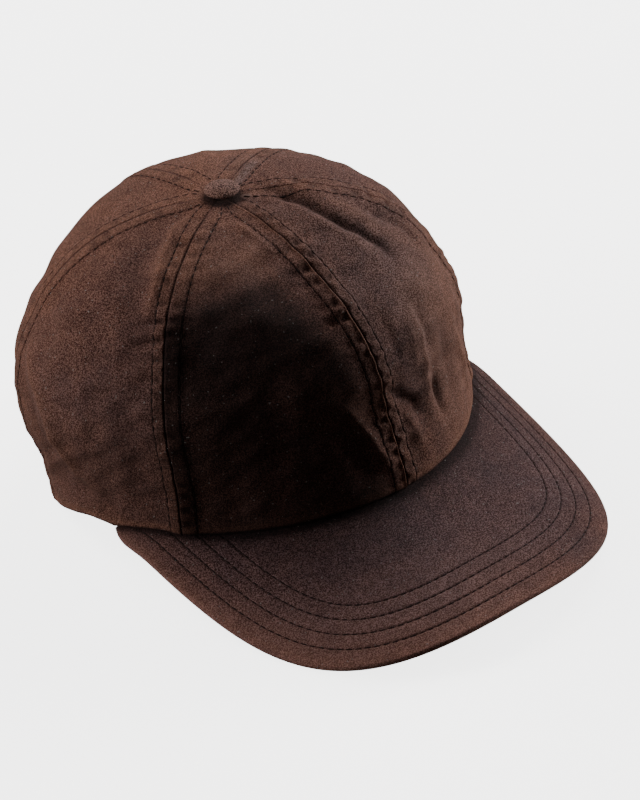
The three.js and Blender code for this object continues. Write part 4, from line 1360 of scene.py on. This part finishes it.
# Button. A domed metal shell covered with a round of the same cloth, gathered under its rim. Its shank goes
# through the tips of the panels and is clinched inside the crown.
BUTTON_RADIUS = 7.3 * MM
BUTTON_HEIGHT = 3.6 * MM
BUTTON_SLIP = np.array([0.6, -0.5, 0.0]) * MM
BUTTON_RIM_HEIGHT = 1.2 * MM
BUTTON_DOME_POWER = 1.15
BUTTON_GAP = 1.7 * MM
GATHERS = 17
GATHER_DEPTH = 0.105
GATHER_SHIFTS = 5
GATHER_SHIFT = 0.6
BUTTON_COLOURS = ((0.015, 0.0065, 0.0055), (0.24, 0.12, 0.092), (0.24, 0.1, 0.055))
BUTTON_BUMP = 0.5
button_foot = plain_crown(np.array(0.0), np.array(0.0)) + CROWN_CENTRE + BUTTON_SLIP
bpy.ops.object.select_all(action="DESELECT")
bpy.ops.mesh.primitive_uv_sphere_add(segments=64, ring_count=32, radius=BUTTON_RADIUS)
button = bpy.context.object
button.name = "covered_button"
for vertex in button.data.vertices:
    around = math.atan2(vertex.co.y, vertex.co.x)
    share = max(-1.0, min(1.0, vertex.co.z / BUTTON_RADIUS))
    flat = math.hypot(vertex.co.x, vertex.co.y) / BUTTON_RADIUS
    if share >= 0:
        vertex.co.z = BUTTON_RIM_HEIGHT + (BUTTON_HEIGHT - BUTTON_RIM_HEIGHT) * share ** BUTTON_DOME_POWER
    else:
        wave = math.sin(around * GATHERS + GATHER_SHIFT * math.sin(around * GATHER_SHIFTS))
        vertex.co.z = BUTTON_RIM_HEIGHT * (1 + share) * (1 + GATHER_DEPTH * wave * (1 - flat))
button_cloth_place = button.data.uv_layers.active
button_cloth_place.name = "cloth"
for loop in button.data.loops:
    button_cloth_place.data[loop.index].uv = button.data.vertices[loop.vertex_index].co.xy
button_tilt = Matrix.Rotation(-CROWN_TILT, 4, "X")
up = button_tilt @ Vector((0, 0, BUTTON_GAP))
button.data.transform(Matrix.Translation(Vector(button_foot) + up) @ button_tilt)
bpy.ops.object.shade_smooth()
for share_name, share in (("wear_and_painted_light", 0.1), ("painted_shade", 0.0), ("cool_grey", 0.3)):
    layer = button.data.attributes.new(share_name, "FLOAT", "POINT")
    layer.data.foreach_set("value", np.full(len(button.data.vertices), share))
button_cloth = cloth_material("button_cloth", *BUTTON_COLOURS, bump=BUTTON_BUMP)
button.data.materials.append(button_cloth)
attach(button, "root")
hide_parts("top_button")

# Shank of the button. A steel pin that comes down from the shell through the hole at the tips of the
# panels. Its foot is spread into a flat round inside the crown, which clinches the button fast.
SHANK_RADIUS = 2.6 * MM
CLINCH_RADIUS = 5.5 * MM
CLINCH_HEIGHT = 1.0 * MM
CLINCH_TOP = -1.9 * MM
SHANK_TOP = 2.2 * MM
CLINCH_EDGE = 0.3 * MM
SHANK_SMOOTH_ANGLE = math.radians(40)
STEEL_STAIN_SCALE = 700
STEEL_DARK = (0.12, 0.105, 0.09, 1)
STEEL_LIGHT = (0.3, 0.28, 0.25, 1)
STEEL_ROUGHNESS = 0.45
bpy.ops.object.select_all(action="DESELECT")
bpy.ops.mesh.primitive_circle_add(vertices=32, radius=CLINCH_RADIUS, fill_type="NGON",
                                  location=(0, 0, CLINCH_TOP - CLINCH_HEIGHT))
shank = bpy.context.object
shank.name = "button_shank"
bpy.ops.object.transform_apply(location=True, rotation=False, scale=False)
bpy.ops.object.mode_set(mode="EDIT")
bpy.ops.mesh.select_all(action="SELECT")
bpy.ops.mesh.extrude_region_move(TRANSFORM_OT_translate={"value": (0, 0, CLINCH_HEIGHT)})
bpy.ops.mesh.inset(thickness=CLINCH_RADIUS - SHANK_RADIUS)
bpy.ops.mesh.extrude_region_move(TRANSFORM_OT_translate={"value": (0, 0, SHANK_TOP - CLINCH_TOP)})
bpy.ops.mesh.select_all(action="SELECT")
bpy.ops.mesh.normals_make_consistent(inside=False)
bpy.ops.object.mode_set(mode="OBJECT")
edge = shank.modifiers.new("edge", "BEVEL")
edge.width = CLINCH_EDGE
edge.segments = 3
bpy.ops.object.modifier_apply(modifier="edge")
bpy.ops.object.shade_smooth_by_angle(angle=SHANK_SMOOTH_ANGLE)
shank.data.transform(Matrix.Translation(Vector(button_foot)) @ button_tilt)
shank_steel, nodes, link, shader = new_material("shank_steel")
steel_stain = fine_noise(nodes, link, STEEL_STAIN_SCALE, 4)
link(two_tones(nodes, link, steel_stain, STEEL_DARK, STEEL_LIGHT), shader.inputs["Base Color"])
shader.inputs["Metallic"].default_value = 1.0
shader.inputs["Roughness"].default_value = STEEL_ROUGHNESS
shank.data.materials.append(shank_steel)
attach(shank, "root")
